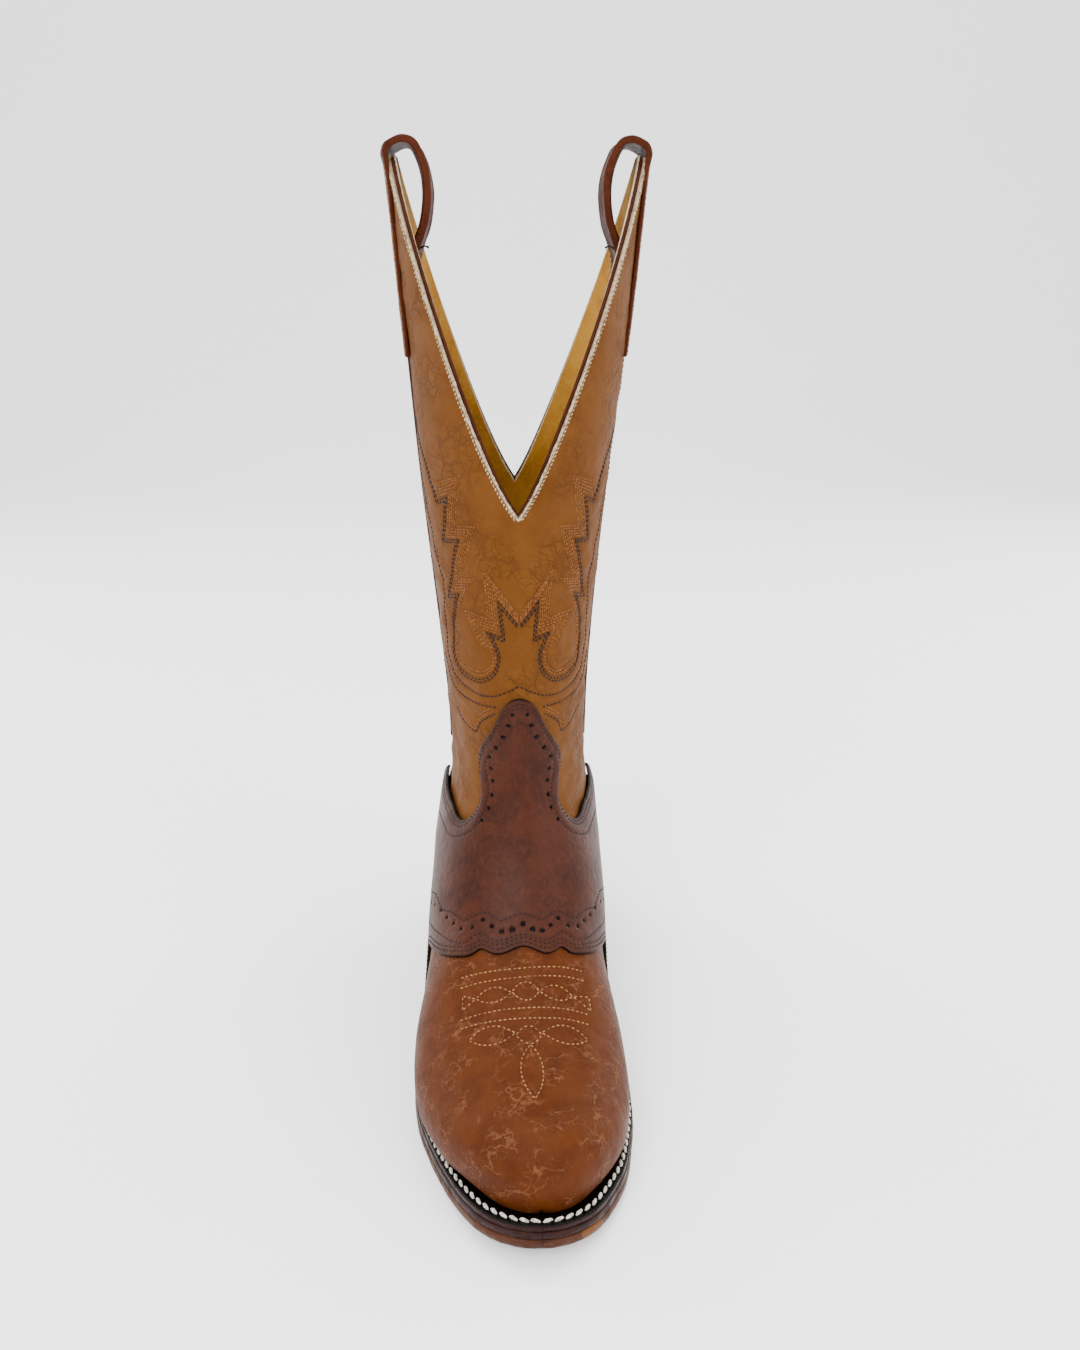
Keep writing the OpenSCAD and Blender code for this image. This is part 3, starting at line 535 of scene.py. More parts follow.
def fibres(P, N, D, count, length, radius, seed):
    """Short stray fibres of raw leather, scattered along points P."""
    rng = np.random.default_rng(seed)
    pick = rng.integers(0, len(P), count)
    way = unit(N[pick] * rng.normal(0.5, 0.8, (count, 1)) + D[pick] * rng.normal(0, 0.9, (count, 1))
               + rng.normal(0, 0.5, (count, 3)))
    size = length * rng.uniform(0.35, 1.0, (count, 1))
    start = P[pick] + rng.normal(0, 0.35, (count, 3))
    bend = unit(way + rng.normal(0, 0.7, (count, 3)))
    mid = start + way * size * 0.5
    tip = mid + bend * size * 0.5
    S = unit(np.cross(way, rng.normal(0, 1, (count, 3))))
    V = unit(np.cross(S, way))
    corner = [S, -0.5 * S + 0.87 * V, -0.5 * S - 0.87 * V]
    thick, thin = [start + c * radius for c in corner], [mid + c * radius * 0.7 for c in corner]
    verts = np.stack(thick + thin + [tip], 1)
    pattern = [[0, 1, 4, 3], [1, 2, 5, 4], [2, 0, 3, 5], [3, 4, 6], [4, 5, 6], [5, 3, 6], [2, 1, 0]]
    faces = [[i + 7 * k for i in f] for k in range(count) for f in pattern]
    return verts.reshape(-1, 3), faces


# ---- Materials ------------------------------------------------------------------------------
TONE, DEPTH = 0.21, 1.32


def srgb(r, g, b, tone=TONE):
    """A dye colour: deepened, because bright studio light washes colours out."""
    plain = [((c / 255 + 0.055) / 1.055) ** 2.4 if c > 10 else c / 255 / 12.92 for c in (r, g, b)]
    return tuple(tone * c ** DEPTH for c in plain) + (1.0,)


class Nodes:
    """Small helper that builds a node material."""

    def __init__(self, name):
        self.material = bpy.data.materials.new(name)
        self.material.use_nodes = True
        self.tree = self.material.node_tree
        self.shader = self.tree.nodes["Principled BSDF"]
        self.where = None

    def put(self, kind, inputs=(), **settings):
        n = self.tree.nodes.new(kind)
        for k, v in settings.items():
            setattr(n, k, v)
        for k, v in dict(inputs).items():
            if isinstance(v, bpy.types.NodeSocket):
                self.tree.links.new(v, n.inputs[k])
            else:
                n.inputs[k].default_value = v
        return n

    def coords(self, attribute="rest"):
        """Rest position in mm, so that a pattern doesn't slide when the leather bends."""
        if attribute:
            src = self.put("ShaderNodeAttribute", attribute_name=attribute).outputs["Vector"]
        else:
            src = self.put("ShaderNodeTexCoord").outputs["Object"]
        self.where = self.put("ShaderNodeVectorMath", {0: src, 3: 1000.0}, operation="SCALE").outputs[0]

    def stretch(self, x, y, z):
        values = {0: self.where, 1: (x, y, z)}
        return self.put("ShaderNodeVectorMath", values, operation="MULTIPLY").outputs[0]

    def noise(self, size, detail=3.0, rough=0.55, vector=None, warp=0.0):
        values = {"Vector": vector or self.where, "Scale": 1 / size, "Detail": detail,
                  "Roughness": rough, "Distortion": warp}
        return self.put("ShaderNodeTexNoise", values).outputs["Fac"]

    def cells(self, size, feature, vector=None):
        values = {"Vector": vector or self.where, "Scale": 1 / size}
        return self.put("ShaderNodeTexVoronoi", values, feature=feature).outputs["Distance"]

    def curve(self, value, a, b, low=0.0, high=1.0):
        values = {"Value": value, "From Min": a, "From Max": b, "To Min": low, "To Max": high}
        n = self.put("ShaderNodeMapRange", values, interpolation_type="SMOOTHSTEP")
        return n.outputs["Result"]

    def math(self, kind, a, b):
        return self.put("ShaderNodeMath", {0: a, 1: b}, operation=kind).outputs[0]

    def times(self, a, b):
        return self.math("MULTIPLY", a, b)

    def ragged(self, name, size, amount):
        """A distance attribute with an uneven limit, for torn edges."""
        uneven = self.math("SUBTRACT", self.noise(size, 2), 0.5)
        return self.math("ADD", self.attribute(name), self.times(uneven, amount * MM))

    def blend(self, factor, a, b):
        n = self.put("ShaderNodeMix", data_type="RGBA", blend_type="MIX")
        for socket, v in (("Factor", factor), ("A", a), ("B", b)):
            found = [i for i in n.inputs if i.name == socket and i.enabled][0]
            if isinstance(v, bpy.types.NodeSocket):
                self.tree.links.new(v, found)
            else:
                found.default_value = v
        return [o for o in n.outputs if o.enabled][0]

    def attribute(self, name):
        return self.put("ShaderNodeAttribute", attribute_name=name).outputs["Fac"]

    def bump(self, height, distance, after=None):
        values = {"Height": height, "Distance": distance * MM, "Strength": 1.0}
        if after is not None:
            values["Normal"] = after
        return self.put("ShaderNodeBump", values).outputs["Normal"]

    def done(self, color, rough, normal=None, **sockets):
        for k, v in (("Base Color", color), ("Roughness", rough), ("Normal", normal)):
            if v is None:
                continue
            if isinstance(v, bpy.types.NodeSocket):
                self.tree.links.new(v, self.shader.inputs[k])
            else:
                self.shader.inputs[k].default_value = v
        for k, v in sockets.items():
            self.shader.inputs[k.replace("_", " ")].default_value = v
        return self.material


def leather(name, main, dark, light, crease=None, grain=1.3, grain_depth=0.12, mottle=16, rough=(0.42, 0.6),
            creases=14, crease_amount=0.5, crease_depth=0.25, edge_color=None, edge_width=2.2, raw_color=None,
            painted_highlight_streak=None, specular=0.06, attribute="rest", along_x=1.0):
    """Full-grain leather: mottled colour, pale crease lines, pebble grain, burnished or raw edges, painted
    shade along seams and in punched holes, and optional painted highlight streaks.
    """
    m = Nodes(name)
    m.coords(attribute)
    big = m.noise(mottle, 4, 0.6, warp=0.6)
    small = m.noise(mottle / 6, 3, 0.6)
    color = m.blend(m.times(m.curve(big, 0.35, 0.7), 0.7), main, dark)
    color = m.blend(m.times(m.curve(small, 0.45, 0.8), 0.35), color, light)
    # painted highlight: pale vertical streaks stand in for the sheen on the leather
    if painted_highlight_streak:
        s = m.noise(2.2, 3, 0.6, vector=m.stretch(1, 1, 0.08))
        color = m.blend(m.times(m.curve(s, 0.5, 0.75), painted_highlight_streak), color, light)
    across = m.stretch(along_x, 1, 1)
    drift = m.put("ShaderNodeTexNoise", {"Vector": m.where, "Scale": 1 / 7, "Detail": 4.0}).outputs["Color"]
    drift = m.put("ShaderNodeVectorMath", {0: drift, 3: 12.0}, operation="SCALE").outputs[0]
    warped = m.put("ShaderNodeVectorMath", {0: across, 1: drift}, operation="ADD").outputs[0]
    lines = m.curve(m.cells(creases, "DISTANCE_TO_EDGE", warped), 0.0, 0.07, 1, 0)
    fine_lines = m.curve(m.cells(creases / 2.7, "DISTANCE_TO_EDGE", warped), 0.0, 0.06, 1, 0)
    here = m.curve(m.noise(creases * 1.6, 2, 0.5), 0.42, 0.6)
    both_lines = m.math("MAXIMUM", lines, m.times(fine_lines, 0.6))
    crack = m.times(both_lines, here)
    color = m.blend(m.times(crack, crease_amount), color, crease or light)
    if attribute:
        # painted shade: the leather is darkened along the dents of the stitch rows
        color = m.blend(m.times(m.attribute("groove"), 0.35), color, dark)
        if edge_color:
            near = m.curve(m.attribute("edge"), 0.0, edge_width * MM, 0.9, 0)
            color = m.blend(near, color, edge_color)
        if raw_color:
            torn = m.curve(m.ragged("raw", 1.1, 1.3), 0.15 * MM, 0.75 * MM, 1, 0)
            color = m.blend(torn, color, raw_color)
        # painted shade: the wells of the punched holes are painted near black
        color = m.blend(m.curve(m.attribute("hole"), 0.15, 0.6), color, srgb(30, 14, 9))
    pebble = m.cells(grain, "SMOOTH_F1")
    tiny = m.noise(0.5, 3, 0.6)
    n1 = m.bump(m.math("SUBTRACT", 1.0, crack), crease_depth)
    n2 = m.bump(pebble, grain_depth, after=n1)
    n3 = m.bump(tiny, 0.06, after=n2)
    n4 = m.bump(m.noise(5, 3), 0.35, after=n3)
    wear = m.math("ADD", m.times(big, 0.6), m.times(small, 0.4))
    return m.done(color, m.curve(wear, 0.3, 0.7, *rough), n4, Specular_IOR_Level=specular)


def thread_material(name, main, dark, rough=0.6):
    m = Nodes(name)
    m.coords("rest")
    color = m.blend(m.curve(m.noise(1.2, 2), 0.35, 0.7), main, dark)
    ply = m.put("ShaderNodeTexWave", {"Vector": m.where, "Scale": 1.6, "Distortion": 1.5}, wave_type="BANDS",
                bands_direction="DIAGONAL").outputs["Fac"]
    return m.done(color, rough, m.bump(ply, 0.08), Sheen_Weight=0.05, Specular_IOR_Level=0.1)


def suede(name, main, dark, light):
    """Split leather: a soft nap with rubbed and darker patches, and painted shade that deepens lower down."""
    m = Nodes(name)
    m.coords("rest")
    color = m.blend(m.curve(m.noise(22, 4, 0.6, warp=0.5), 0.35, 0.7), main, dark)
    color = m.blend(m.times(m.curve(m.noise(1.6, 4, 0.7), 0.5, 0.72), 0.45), color, light)
    # painted shade: darker from 340 mm down to 250 mm height, deep inside the boot
    low = m.put("ShaderNodeSeparateXYZ", {0: m.where}).outputs["Z"]
    color = m.blend(m.times(m.curve(low, 340, 250), 0.35), color, dark)
    torn = m.curve(m.ragged("raw", 0.9, 0.9), 0.25 * MM, 0.7 * MM, 1, 0)
    color = m.blend(torn, color, srgb(232, 222, 200, 0.7))
    n1 = m.bump(m.noise(0.45, 4, 0.75), 0.14)
    n2 = m.bump(m.noise(7, 3), 0.3, after=n1)
    return m.done(color, 0.88, n2, Sheen_Weight=0.08, Sheen_Roughness=0.45, Specular_IOR_Level=0.05)


def sole_edge(name, main, dark, light, rough=(0.35, 0.6), patch=None, side=None):
    """Stained sole leather: layered fibres along the edge, scuffs and a waxed gleam."""
    m = Nodes(name)
    m.coords("rest")
    color = m.blend(m.curve(m.noise(14, 4, 0.6, warp=0.8), 0.38, 0.66), main, dark)
    layers = m.noise(1.3, 4, 0.65, vector=m.stretch(0.12, 0.12, 1.6))
    color = m.blend(m.times(m.curve(layers, 0.48, 0.72), 0.6), color, light)
    scuff = m.curve(m.noise(3.5, 5, 0.75, vector=m.stretch(0.5, 0.5, 1.4), warp=1.2), 0.6, 0.7)
    color = m.blend(m.times(scuff, 0.4), color, light)
    if patch:
        spot = m.put("ShaderNodeVectorMath", {0: m.where, 1: patch[0]}, operation="SUBTRACT").outputs[0]
        spot = m.put("ShaderNodeVectorMath", {0: spot}, operation="LENGTH").outputs["Value"]
        spot = m.math("ADD", spot, m.times(m.noise(4, 3), 9.0))
        color = m.blend(m.curve(spot, patch[1], patch[1] + 1.5, 1, 0), color, patch[2])
    if side:
        normal = m.put("ShaderNodeNewGeometry").outputs["Normal"]
        facing = m.put("ShaderNodeSeparateXYZ", {0: normal}).outputs["Z"]
        color = m.blend(m.curve(facing, 0.35, 0.6, 1, 0), color, side)
    n1 = m.bump(layers, 0.16)
    n2 = m.bump(m.noise(0.7, 4, 0.7), 0.1, after=n1)
    n3 = m.bump(scuff, 0.15, after=n2)
    return m.done(color, m.curve(m.noise(5, 3), 0.35, 0.7, *rough), n3, Specular_IOR_Level=0.08)


TAN = leather("tan_leather", srgb(190, 132, 70), srgb(172, 116, 58), srgb(202, 148, 90),
              crease=srgb(158, 104, 54), grain=0.9, grain_depth=0.04, mottle=34,
              creases=15, crease_amount=0.45, crease_depth=0.4,
              rough=(0.5, 0.66), raw_color=srgb(226, 208, 178, 0.5), specular=0.04)
VAMP = leather("vamp_leather", srgb(164, 98, 42), srgb(142, 78, 32), srgb(176, 110, 60),
               crease=srgb(214, 156, 116, 0.3), grain=1.6, grain_depth=0.07, mottle=12,
               creases=8, crease_amount=0.4, crease_depth=0.35,
               rough=(0.4, 0.55), edge_color=srgb(70, 38, 22), edge_width=3.0, along_x=0.45, specular=0.06)
# The saddle leather gets painted highlight streaks, pale vertical bands that stand in for its sheen.
SADDLE = leather("saddle_leather", srgb(136, 76, 44), srgb(98, 50, 32), srgb(158, 98, 68),
                 crease=srgb(156, 98, 72), grain=0.8, grain_depth=0.03, mottle=18,
                 creases=13, crease_amount=0.15, crease_depth=0.1,
                 rough=(0.4, 0.52), edge_color=srgb(40, 20, 14), edge_width=0.9, painted_highlight_streak=0.4, specular=0.1)
STRAP = leather("strap_leather", srgb(142, 84, 62), srgb(110, 60, 44), srgb(170, 112, 86),
                grain=1.3, grain_depth=0.2, mottle=9, creases=6, crease_amount=0.35,
                edge_color=srgb(150, 82, 44), edge_width=1.0)
BEAD = leather("bead_leather", srgb(140, 80, 48), srgb(110, 60, 38), srgb(160, 100, 66), grain=0.8, mottle=8,
               creases=7, crease_amount=0.3)
SUEDE = suede("gold_suede", srgb(206, 160, 74, 0.55), srgb(186, 136, 46, 0.5), srgb(224, 186, 110, 0.6))
FOOT_LINING = suede("foot_lining", srgb(200, 164, 118), srgb(176, 138, 92), srgb(222, 192, 150))
RAW = thread_material("raw_fibre", srgb(232, 214, 184, 0.6), srgb(196, 160, 120, 0.4), 0.9)
BRUSHED = thread_material("strap_fibre", srgb(170, 104, 56), srgb(128, 74, 40), 0.9)
PLUM = thread_material("plum_thread", srgb(84, 48, 50), srgb(60, 34, 38))
GOLD = thread_material("gold_thread", srgb(222, 156, 84, 0.3), srgb(176, 112, 52, 0.2))
BUG = thread_material("tan_thread", srgb(222, 174, 122, 0.5), srgb(180, 126, 80, 0.3))
BROWN = thread_material("brown_thread", srgb(88, 44, 34), srgb(58, 28, 22))
WHITE = thread_material("white_thread", srgb(238, 234, 224, 0.75), srgb(206, 198, 184, 0.55))
WELT = sole_edge("black_welt", srgb(30, 22, 18), srgb(16, 12, 10), srgb(58, 42, 34), rough=(0.3, 0.5),
                 side=srgb(94, 48, 38))
DARK_SOLE = sole_edge("dark_sole_leather", srgb(104, 52, 42), srgb(76, 38, 32), srgb(136, 84, 62))
# The outsole's edge is lighter than the midsole's: partly a lighter stain, partly painted light on the lower
# band of the sole edge.
LIGHT_SOLE = sole_edge("outsole_leather", srgb(150, 98, 66), srgb(122, 74, 50), srgb(176, 124, 86),
                       patch=((26, -143, 9), 11, srgb(190, 132, 74)))
HEEL_A = sole_edge("heel_leather_dark", srgb(78, 44, 36), srgb(54, 30, 26), srgb(116, 74, 56))
HEEL_B = sole_edge("heel_leather_light", srgb(96, 58, 44), srgb(66, 38, 30), srgb(132, 88, 64))
RUBBER = sole_edge("heel_rubber", srgb(38, 34, 32), srgb(24, 22, 21), srgb(62, 56, 52), rough=(0.6, 0.8))

# ---- Shaft ----------------------------------------------------------------------------------
# The stitched ornament as [u, |t|]: stepped flank, round lobe, then the M over the tongue.
ORNAMENT = [[18.4, 0.48], [18.07, 0.36], [17.8, 0.305], [17.85, 0.254], [17.45, 0.29], [17.47, 0.218],
            [16.87, 0.298], [16.9, 0.242]]
LOBE = [[16.9, 0.242], [16.55, 0.29], [16.16, 0.293], [15.92, 0.24], [15.8, 0.165], [15.92, 0.11],
        [16.15, 0.088], [16.35, 0.1], [16.5, 0.127]]
CROWN = [[16.5, 0.127], [16.44, 0.066], [16.86, 0.077], [16.59, 0]]
SWEEP = [[18.5, 0.49], [17.9, 0.43], [17.4, 0.375], [17.0, 0.336], [16.69, 0.345], [16.25, 0.355],
         [15.81, 0.3], [15.46, 0.2], [15.35, 0.12], [15.45, 0.056], [15.62, 0]]
SWEEP_LOW = [[16.2, 0.4], [15.7, 0.34], [15.38, 0.27], [15.13, 0.18], [15.0, 0.1]]
ARCS = [[15.1, 0.33], [14.7, 0.28], [14.38, 0.232], [14.22, 0.195], [14.55, 0.175], [14.8, 0.105]]


FLAT_WIDTH = 150
LEAST_T, MOST_T = 0.003, 0.49


def flat_map(P):
    """(u, t) as mm on a flattened front."""
    return np.stack([P[:, 1] * FLAT_WIDTH, np.interp(P[:, 0], np.arange(LAST + 1), SECTIONS[:, 1])], -1)


def from_flat(Q):
    return np.stack([np.interp(Q[:, 1], SECTIONS[:, 1], np.arange(LAST + 1)), Q[:, 0] / FLAT_WIDTH], -1)


def nudged(points, du, dt):
    return [[q[0] + du, q[1] + dt] for q in points]


def parallel(points, distance, limit=2.6):
    """The line moved sideways by distance mm, with mitred corners."""
    Q = flat_map(np.asarray(points, float))
    D = unit(np.diff(Q, axis=0))
    n = np.stack([-D[:, 1], D[:, 0]], -1)
    out = [Q[0] + n[0] * distance]
    for a, b, q in zip(n[:-1], n[1:], Q[1:-1]):
        m = (a + b) / max(np.dot(a + b, a + b) / 2, 1e-6)
        size = np.linalg.norm(m)
        out.append(q + m * min(1, limit / size) * distance)
    out.append(Q[-1] + n[-1] * distance)
    return from_flat(np.array(out))


def on_side(points, front, steps, sharp):
    """A row on both sides of the front, or turned round to the back."""
    rows = []
    for r in both(points, steps, sharp, LEAST_T):
        rows.append(r if front else np.stack([r[:, 0], np.sign(r[:, 1]) * (1 - np.abs(r[:, 1]))], -1))
    return rows


def outline(distance):
    """The whole ornament line on one side, moved inward by distance mm."""
    lobe = fine(LOBE, 5)
    line = np.vstack([ORNAMENT[:-1], lobe, CROWN[1:]])
    return parallel(line, distance) if distance else line


def ornament_rows(front):
    dark, gold = [], []
    dark += on_side(outline(0), front, 3, True) + on_side(outline(1.3), front, 3, True)
    for k in range(1, 6):
        shifted = outline(-1.25 * k - 0.3)
        shifted[:, 1] = np.clip(shifted[:, 1], LEAST_T, MOST_T)
        cut = shifted[2:8] if k > 2 else shifted[2:]
        gold += on_side(cut, front, 3, True)
        if k > 2:
            gold += on_side(shifted[-9:], front, 3, True)
    dark += on_side(SWEEP, front, 5, False)
    if front:
        dark += on_side(SWEEP_LOW, front, 5, False) + on_side(ARCS, front, 5, False)
        gold += on_side(nudged(ARCS[2:], 0.13, 0.004), front, 5, False)
        gold += on_side(nudged(ARCS[2:], 0.24, 0.006), front, 5, False)
    else:
        dark += on_side(nudged(SWEEP[3:], -0.16, 0.008), front, 5, False)
    return dark, gold


def edge_row(front, below):
    """Stitching beside the topline, further from it in the middle of each side."""
    s = np.linspace(0.02, 0.93, 90)
    rows = []
    for side in (-1, 1):
        t = side * 0.5 * s if front else side * (1 - 0.5 * s)
        drop = below * (1 + 1.4 * np.sin(np.pi * np.minimum(s / 0.9, 1)) ** 0.5)
        rows.append(np.stack([u_at_z(t, top_z(t) - drop), t], -1))
    return rows


def seam_row(front, inset):
    z = np.linspace(150, 425, 80)
    return [np.stack([u_at_z(np.full(80, t), z), np.full(80, t)], -1)
            for t in [s * (0.5 - inset) if front else s * (0.5 + inset) for s in (-1, 1)]]


for front, tag in ((True, "front"), (False, "back")):
    dark, gold = ornament_rows(front)
    rim = edge_row(front, 1.5)
    side = seam_row(front, 0.022)
    panel = Sheet(f"{tag}_shaft_leather", shaft_grid(front, 0, 0, 62, 190 if front else 170), -0.2, -1.9,
                  folds=shaft_folds, seams=base_points(dark + gold), depth=0.4, seam_width=0.9,
                  turn=0.35, raw="high")
    place(panel.object, "bend", TAN, "shaft_leather", f"{tag}_panel")
    sew(f"{tag}_plum_stitching", dark, panel, 2.4, 0.42, "bend", PLUM, "plum_thread",
        f"{tag}_shaft_stitching")
    sew(f"{tag}_gold_stitching", gold, panel, 2.0, 0.36, "bend", GOLD, "plum_thread")
    sew(f"{tag}_edge_stitching", rim, panel, 2.0, 0.4, "bend", RAW, "shaft_leather", slant=0.4)
    sew(f"{tag}_side_seam_stitching", side, panel, 2.6, 0.4, "bend", PLUM, "plum_thread")
    lining = Sheet(f"{tag}_shaft_lining", shaft_grid(front, 2, 0.3, 44, 120), -2.9, -4.0,
                   folds=lambda P: 0.9 * waves(P * [1, 1, 0.55], 42, 3.1, 1), turn=0.2, raw="high")
    place(lining.object, "bend", SUEDE, "gold_lining", f"{tag}_lining")
    # folded bead between the two edges
    s = np.linspace(-0.9, 0.9, 240)
    t = s * 0.5 if front else np.where(s < 0, -1, 1) * (1 - 0.5 * np.abs(s))
    U = u_at_z(t, top_z(t) + 0.2)
    N = normals(U, t)
    P = surface(U, t) - N * 2.4 + [0, 0, 0.3]
    D = unit(np.gradient(P, axis=0))
    rise = unit(np.cross(D, N))
    rise *= np.sign(rise[:, 2:3] + 1e-9)
    P = P + rise * 0.35
    verts, faces = tube(P, N, 0.95, 12, squash=0.85)
    place(mesh_object(f"{tag}_bead", verts, faces, {"edge": np.full(len(verts), 0.01)}), "shaft", BEAD,
          "bead_leather", f"{tag}_top_bead")
    # raw edge: a ragged ridge of fuzzy leather and loose fibres
    Q = surface(u_at_z(t, top_z(t) - 0.2), t) + N * -0.45
    ragged = 0.62 + 0.3 * waves(Q, 2.2, 4.0 if front else 8.0, 2)
    verts, faces = tube(Q + rise * 0.1 + N * 0.25 * waves(Q, 3.1, 1.7, 1)[:, None], N, ragged, 8, squash=1.1)
    fuzz = fibres(Q + N * 0.2, N * 0.7 + rise * 0.6, D, 2600, 1.5, 0.06, 5 if front else 6)
    raw_edge = mesh_object(f"{tag}_raw_edge", *join([(verts, faces), fuzz]))
    place(raw_edge, "shaft", RAW, "shaft_leather")
    # white raw lining edge
    W = surface(u_at_z(t, top_z(t) - 0.4), t) - N * 3.45
    verts, faces = tube(W + rise * 0.15, N, 0.5 + 0.12 * waves(W, 1.8, 6.0, 1), 8, squash=0.8)
    place(mesh_object(f"{tag}_lining_edge", verts, faces), "shaft", RAW, "gold_lining")

for sign, tag in ((-1, "lateral"), (1, "medial")):
    z = np.linspace(148, 400, 150)
    t = np.full(150, sign * 0.5)
    U = u_at_z(t, z)
    N = normals(U, t)
    P = surface(U, t) - N * 0.3
    verts, faces = tube(P, N, 1.15, 12, squash=0.8)
    place(mesh_object(f"{tag}_side_piping", verts, faces, {"edge": np.full(len(verts), 0.01)}), "bend", BEAD,
          "bead_leather", f"side_piping_{tag}")

# ---- Pull straps ----------------------------------------------------------------------------
# [inward from the shaft's side, above its top], up the outer leg, over the edge and down the inner.
STRAP_PATH = [[-2, -88], [-2, -70], [-2, -45], [-2, -20], [-2, -5], [-1.9, 0.5], [0.4, 3.8], [6, 5.8],
              [11.5, 3.5], [15, -5], [15.5, -16], [13, -28], [8.5, -38], [6.2, -46], [5.9, -56], [5.9, -66]]
STRAP_W, STRAP_T = 28, 3.0
STRAP_SEAM = 2.6


def strap_points(sign, s, w):
    q = along(STRAP_PATH, s)
    z = SHAFT_H + q[..., 1]
    t = np.full(z.shape, sign * 0.5)
    face = surface(u_at_z(t, np.minimum(z, SHAFT_H - 0.1)), t)
    x = face[..., 0] - sign * (0.6 + q[..., 0] + w * w / 112)
    return np.stack([x, face[..., 1] + w, z], -1)


for sign, tag in ((-1, "lateral"), (1, "medial")):
    s = ticks(170, (0.15, 0.4)) * (len(STRAP_PATH) - 1)
    w = (ticks(30, (0.12, 0.35)) * 2 - 1) * STRAP_W / 2
    S, W = np.meshgrid(s, w, indexing="ij")
    P = strap_points(sign, S, W + 0.25 * waves(np.stack([S * 6, W * 0, W * 0], -1), 5, 2.0 + sign, 1))
    N = unit(np.cross(np.gradient(P, axis=1), np.gradient(P, axis=0)))
    N *= np.sign(np.sum(N[5, :, 0]) * sign)
    low, high, left, right = rim_distance(P)
    edge = np.minimum(np.minimum(left, right), np.minimum(low, high))
    thick = mix(1.9, STRAP_T + 0.3, ramp(S, 3.2, 6.0))
    drop = rounding(edge, 0.7)
    gap = np.minimum(np.abs(left - STRAP_SEAM), np.abs(right - STRAP_SEAM))
    bump = 0.25 * waves(P, 8, 3.3, 2) - 0.25 * np.exp(-(gap / 0.9) ** 2)
    P = P - N * ((STRAP_T - thick) / 2 * (S < 6))[..., None]
    top = P + N * (thick / 2 - drop + bump)[..., None]
    bottom = P - N * (thick / 2 - drop * 0.6)[..., None]
    e = np.concatenate([edge.ravel(), edge.ravel()]) * MM
    strap = mesh_object(f"{tag}_pull_strap", *shell(top, bottom, N, 9, 9),
                        {"edge": e, "raw": e, "groove": np.zeros(len(e))})
    place(strap, "shaft", STRAP, "strap_leather", f"pull_strap_{tag}")
    # stitches through the strap, and fuzz on its cut edges
    rows = []
    for off in (-STRAP_W / 2 + STRAP_SEAM, STRAP_W / 2 - STRAP_SEAM):
        for lo, hi in ((0.1, 4.2), (12.2, 14.9)):
            line = strap_points(sign, np.linspace(lo, hi, 200), np.full(200, off))
            run = run_length(line)
            mids = np.arange(1.5, run[-1] - 1, 2.6)
            C, D = at_length(line, run, mids), headings(line, run, mids)
            out = unit(np.cross(D, [0, 1, 0]))
            out *= np.sign(out[:, :1] + 1e-9) * (sign if lo < 5 else -sign)
            rows.append((C + out * (0.4 if lo < 5 else STRAP_T / 2 + 0.2), D, out))
    C, D, N2 = (np.concatenate([q[i] for q in rows]) for i in range(3))
    place(mesh_object(f"{tag}_strap_stitches", *stitch_mesh(C, D, N2, 2.2, 0.45)), "shaft", BUG, "tan_thread",
          *(["strap_stitching"] if sign < 0 else []))
    border = np.concatenate([P[:, 0], P[:, -1]])
    way = np.concatenate([P[:, 0] - P[:, 4], P[:, -1] - P[:, -5]])
    D = unit(np.concatenate([np.gradient(P[:, 0], axis=0), np.gradient(P[:, -1], axis=0)]))
    side = np.concatenate([N[:, 0], N[:, -1]])
    rng = np.random.default_rng(3)
    spread = border + side * rng.uniform(-1.1, 1.1, (len(border), 1))
    fuzz = fibres(spread, unit(way), D, 1500, 0.9, 0.055, 12 + sign)
    place(mesh_object(f"{tag}_strap_fuzz", *fuzz), "shaft", BRUSHED, "strap_leather")
    # two thread tails at the foot of the inner leg
    tails = []
    for j, (dy, lean) in enumerate(((-11, 0.5), (-8, -0.2))):
        root = strap_points(sign, np.array([12.3]), np.array([dy]))[0] - [sign * 1.6, 0, 0]
        f = np.linspace(0, 1, 14)[:, None]
        path = root + f * [-sign * 5.0, -2.2, lean] + np.sin(f * 2.6) * [0, 0, 1.3 + 0.5 * j]
        tails.append(tube(path, np.array([0, 1, 0.2]), 0.3, 6))
    place(mesh_object(f"{tag}_thread_tails", *join(tails)), "shaft", PLUM, "plum_thread")

# ---- Foot leathers --------------------------------------------------------------------------
VAMP_GUIDES = [VAMP_TOE, VAMP_BALL, VAMP_MID, VAMP_TOP]
SADDLE_GUIDES = [SADDLE_LOW, SADDLE_MID, SADDLE_TOP]


# toe bug as (u, t): two pairs of arcs, two rows of three lenses, side triangles and a point below
bug = [fine([[a, -0.19], [b, -0.02], [c, 0.2]], 8) for a, b, c in (
    (6.83, 6.77, 6.93), (6.63, 6.6, 6.74), (5.99, 6.01, 6.08), (5.81, 5.8, 5.87))]
for u, a, b, swell in ((6.32, -0.135, -0.033, 0.14), (6.34, -0.033, 0.037, 0.17), (6.34, 0.037, 0.145, 0.14),
                       (5.5, -0.162, -0.028, 0.2), (5.45, -0.028, 0.034, 0.19), (5.5, 0.034, 0.187, 0.2)):
    for d in (-1, 1):
        bug.append(fine([[u, a], [u + d * swell * 0.75, mix(a, b, 0.25)], [u + d * swell, (a + b) / 2],
                         [u + d * swell * 0.75, mix(a, b, 0.75)], [u, b]], 8))
for tip, edge_t in (((6.32, -0.135), -0.178), ((6.34, 0.145), 0.213)):
    bug += [fine([tip, (6.46, edge_t)], 6, True), fine([tip, (6.18, edge_t)], 6, True),
            fine([(6.46, edge_t), (6.18, edge_t)], 6, True)]
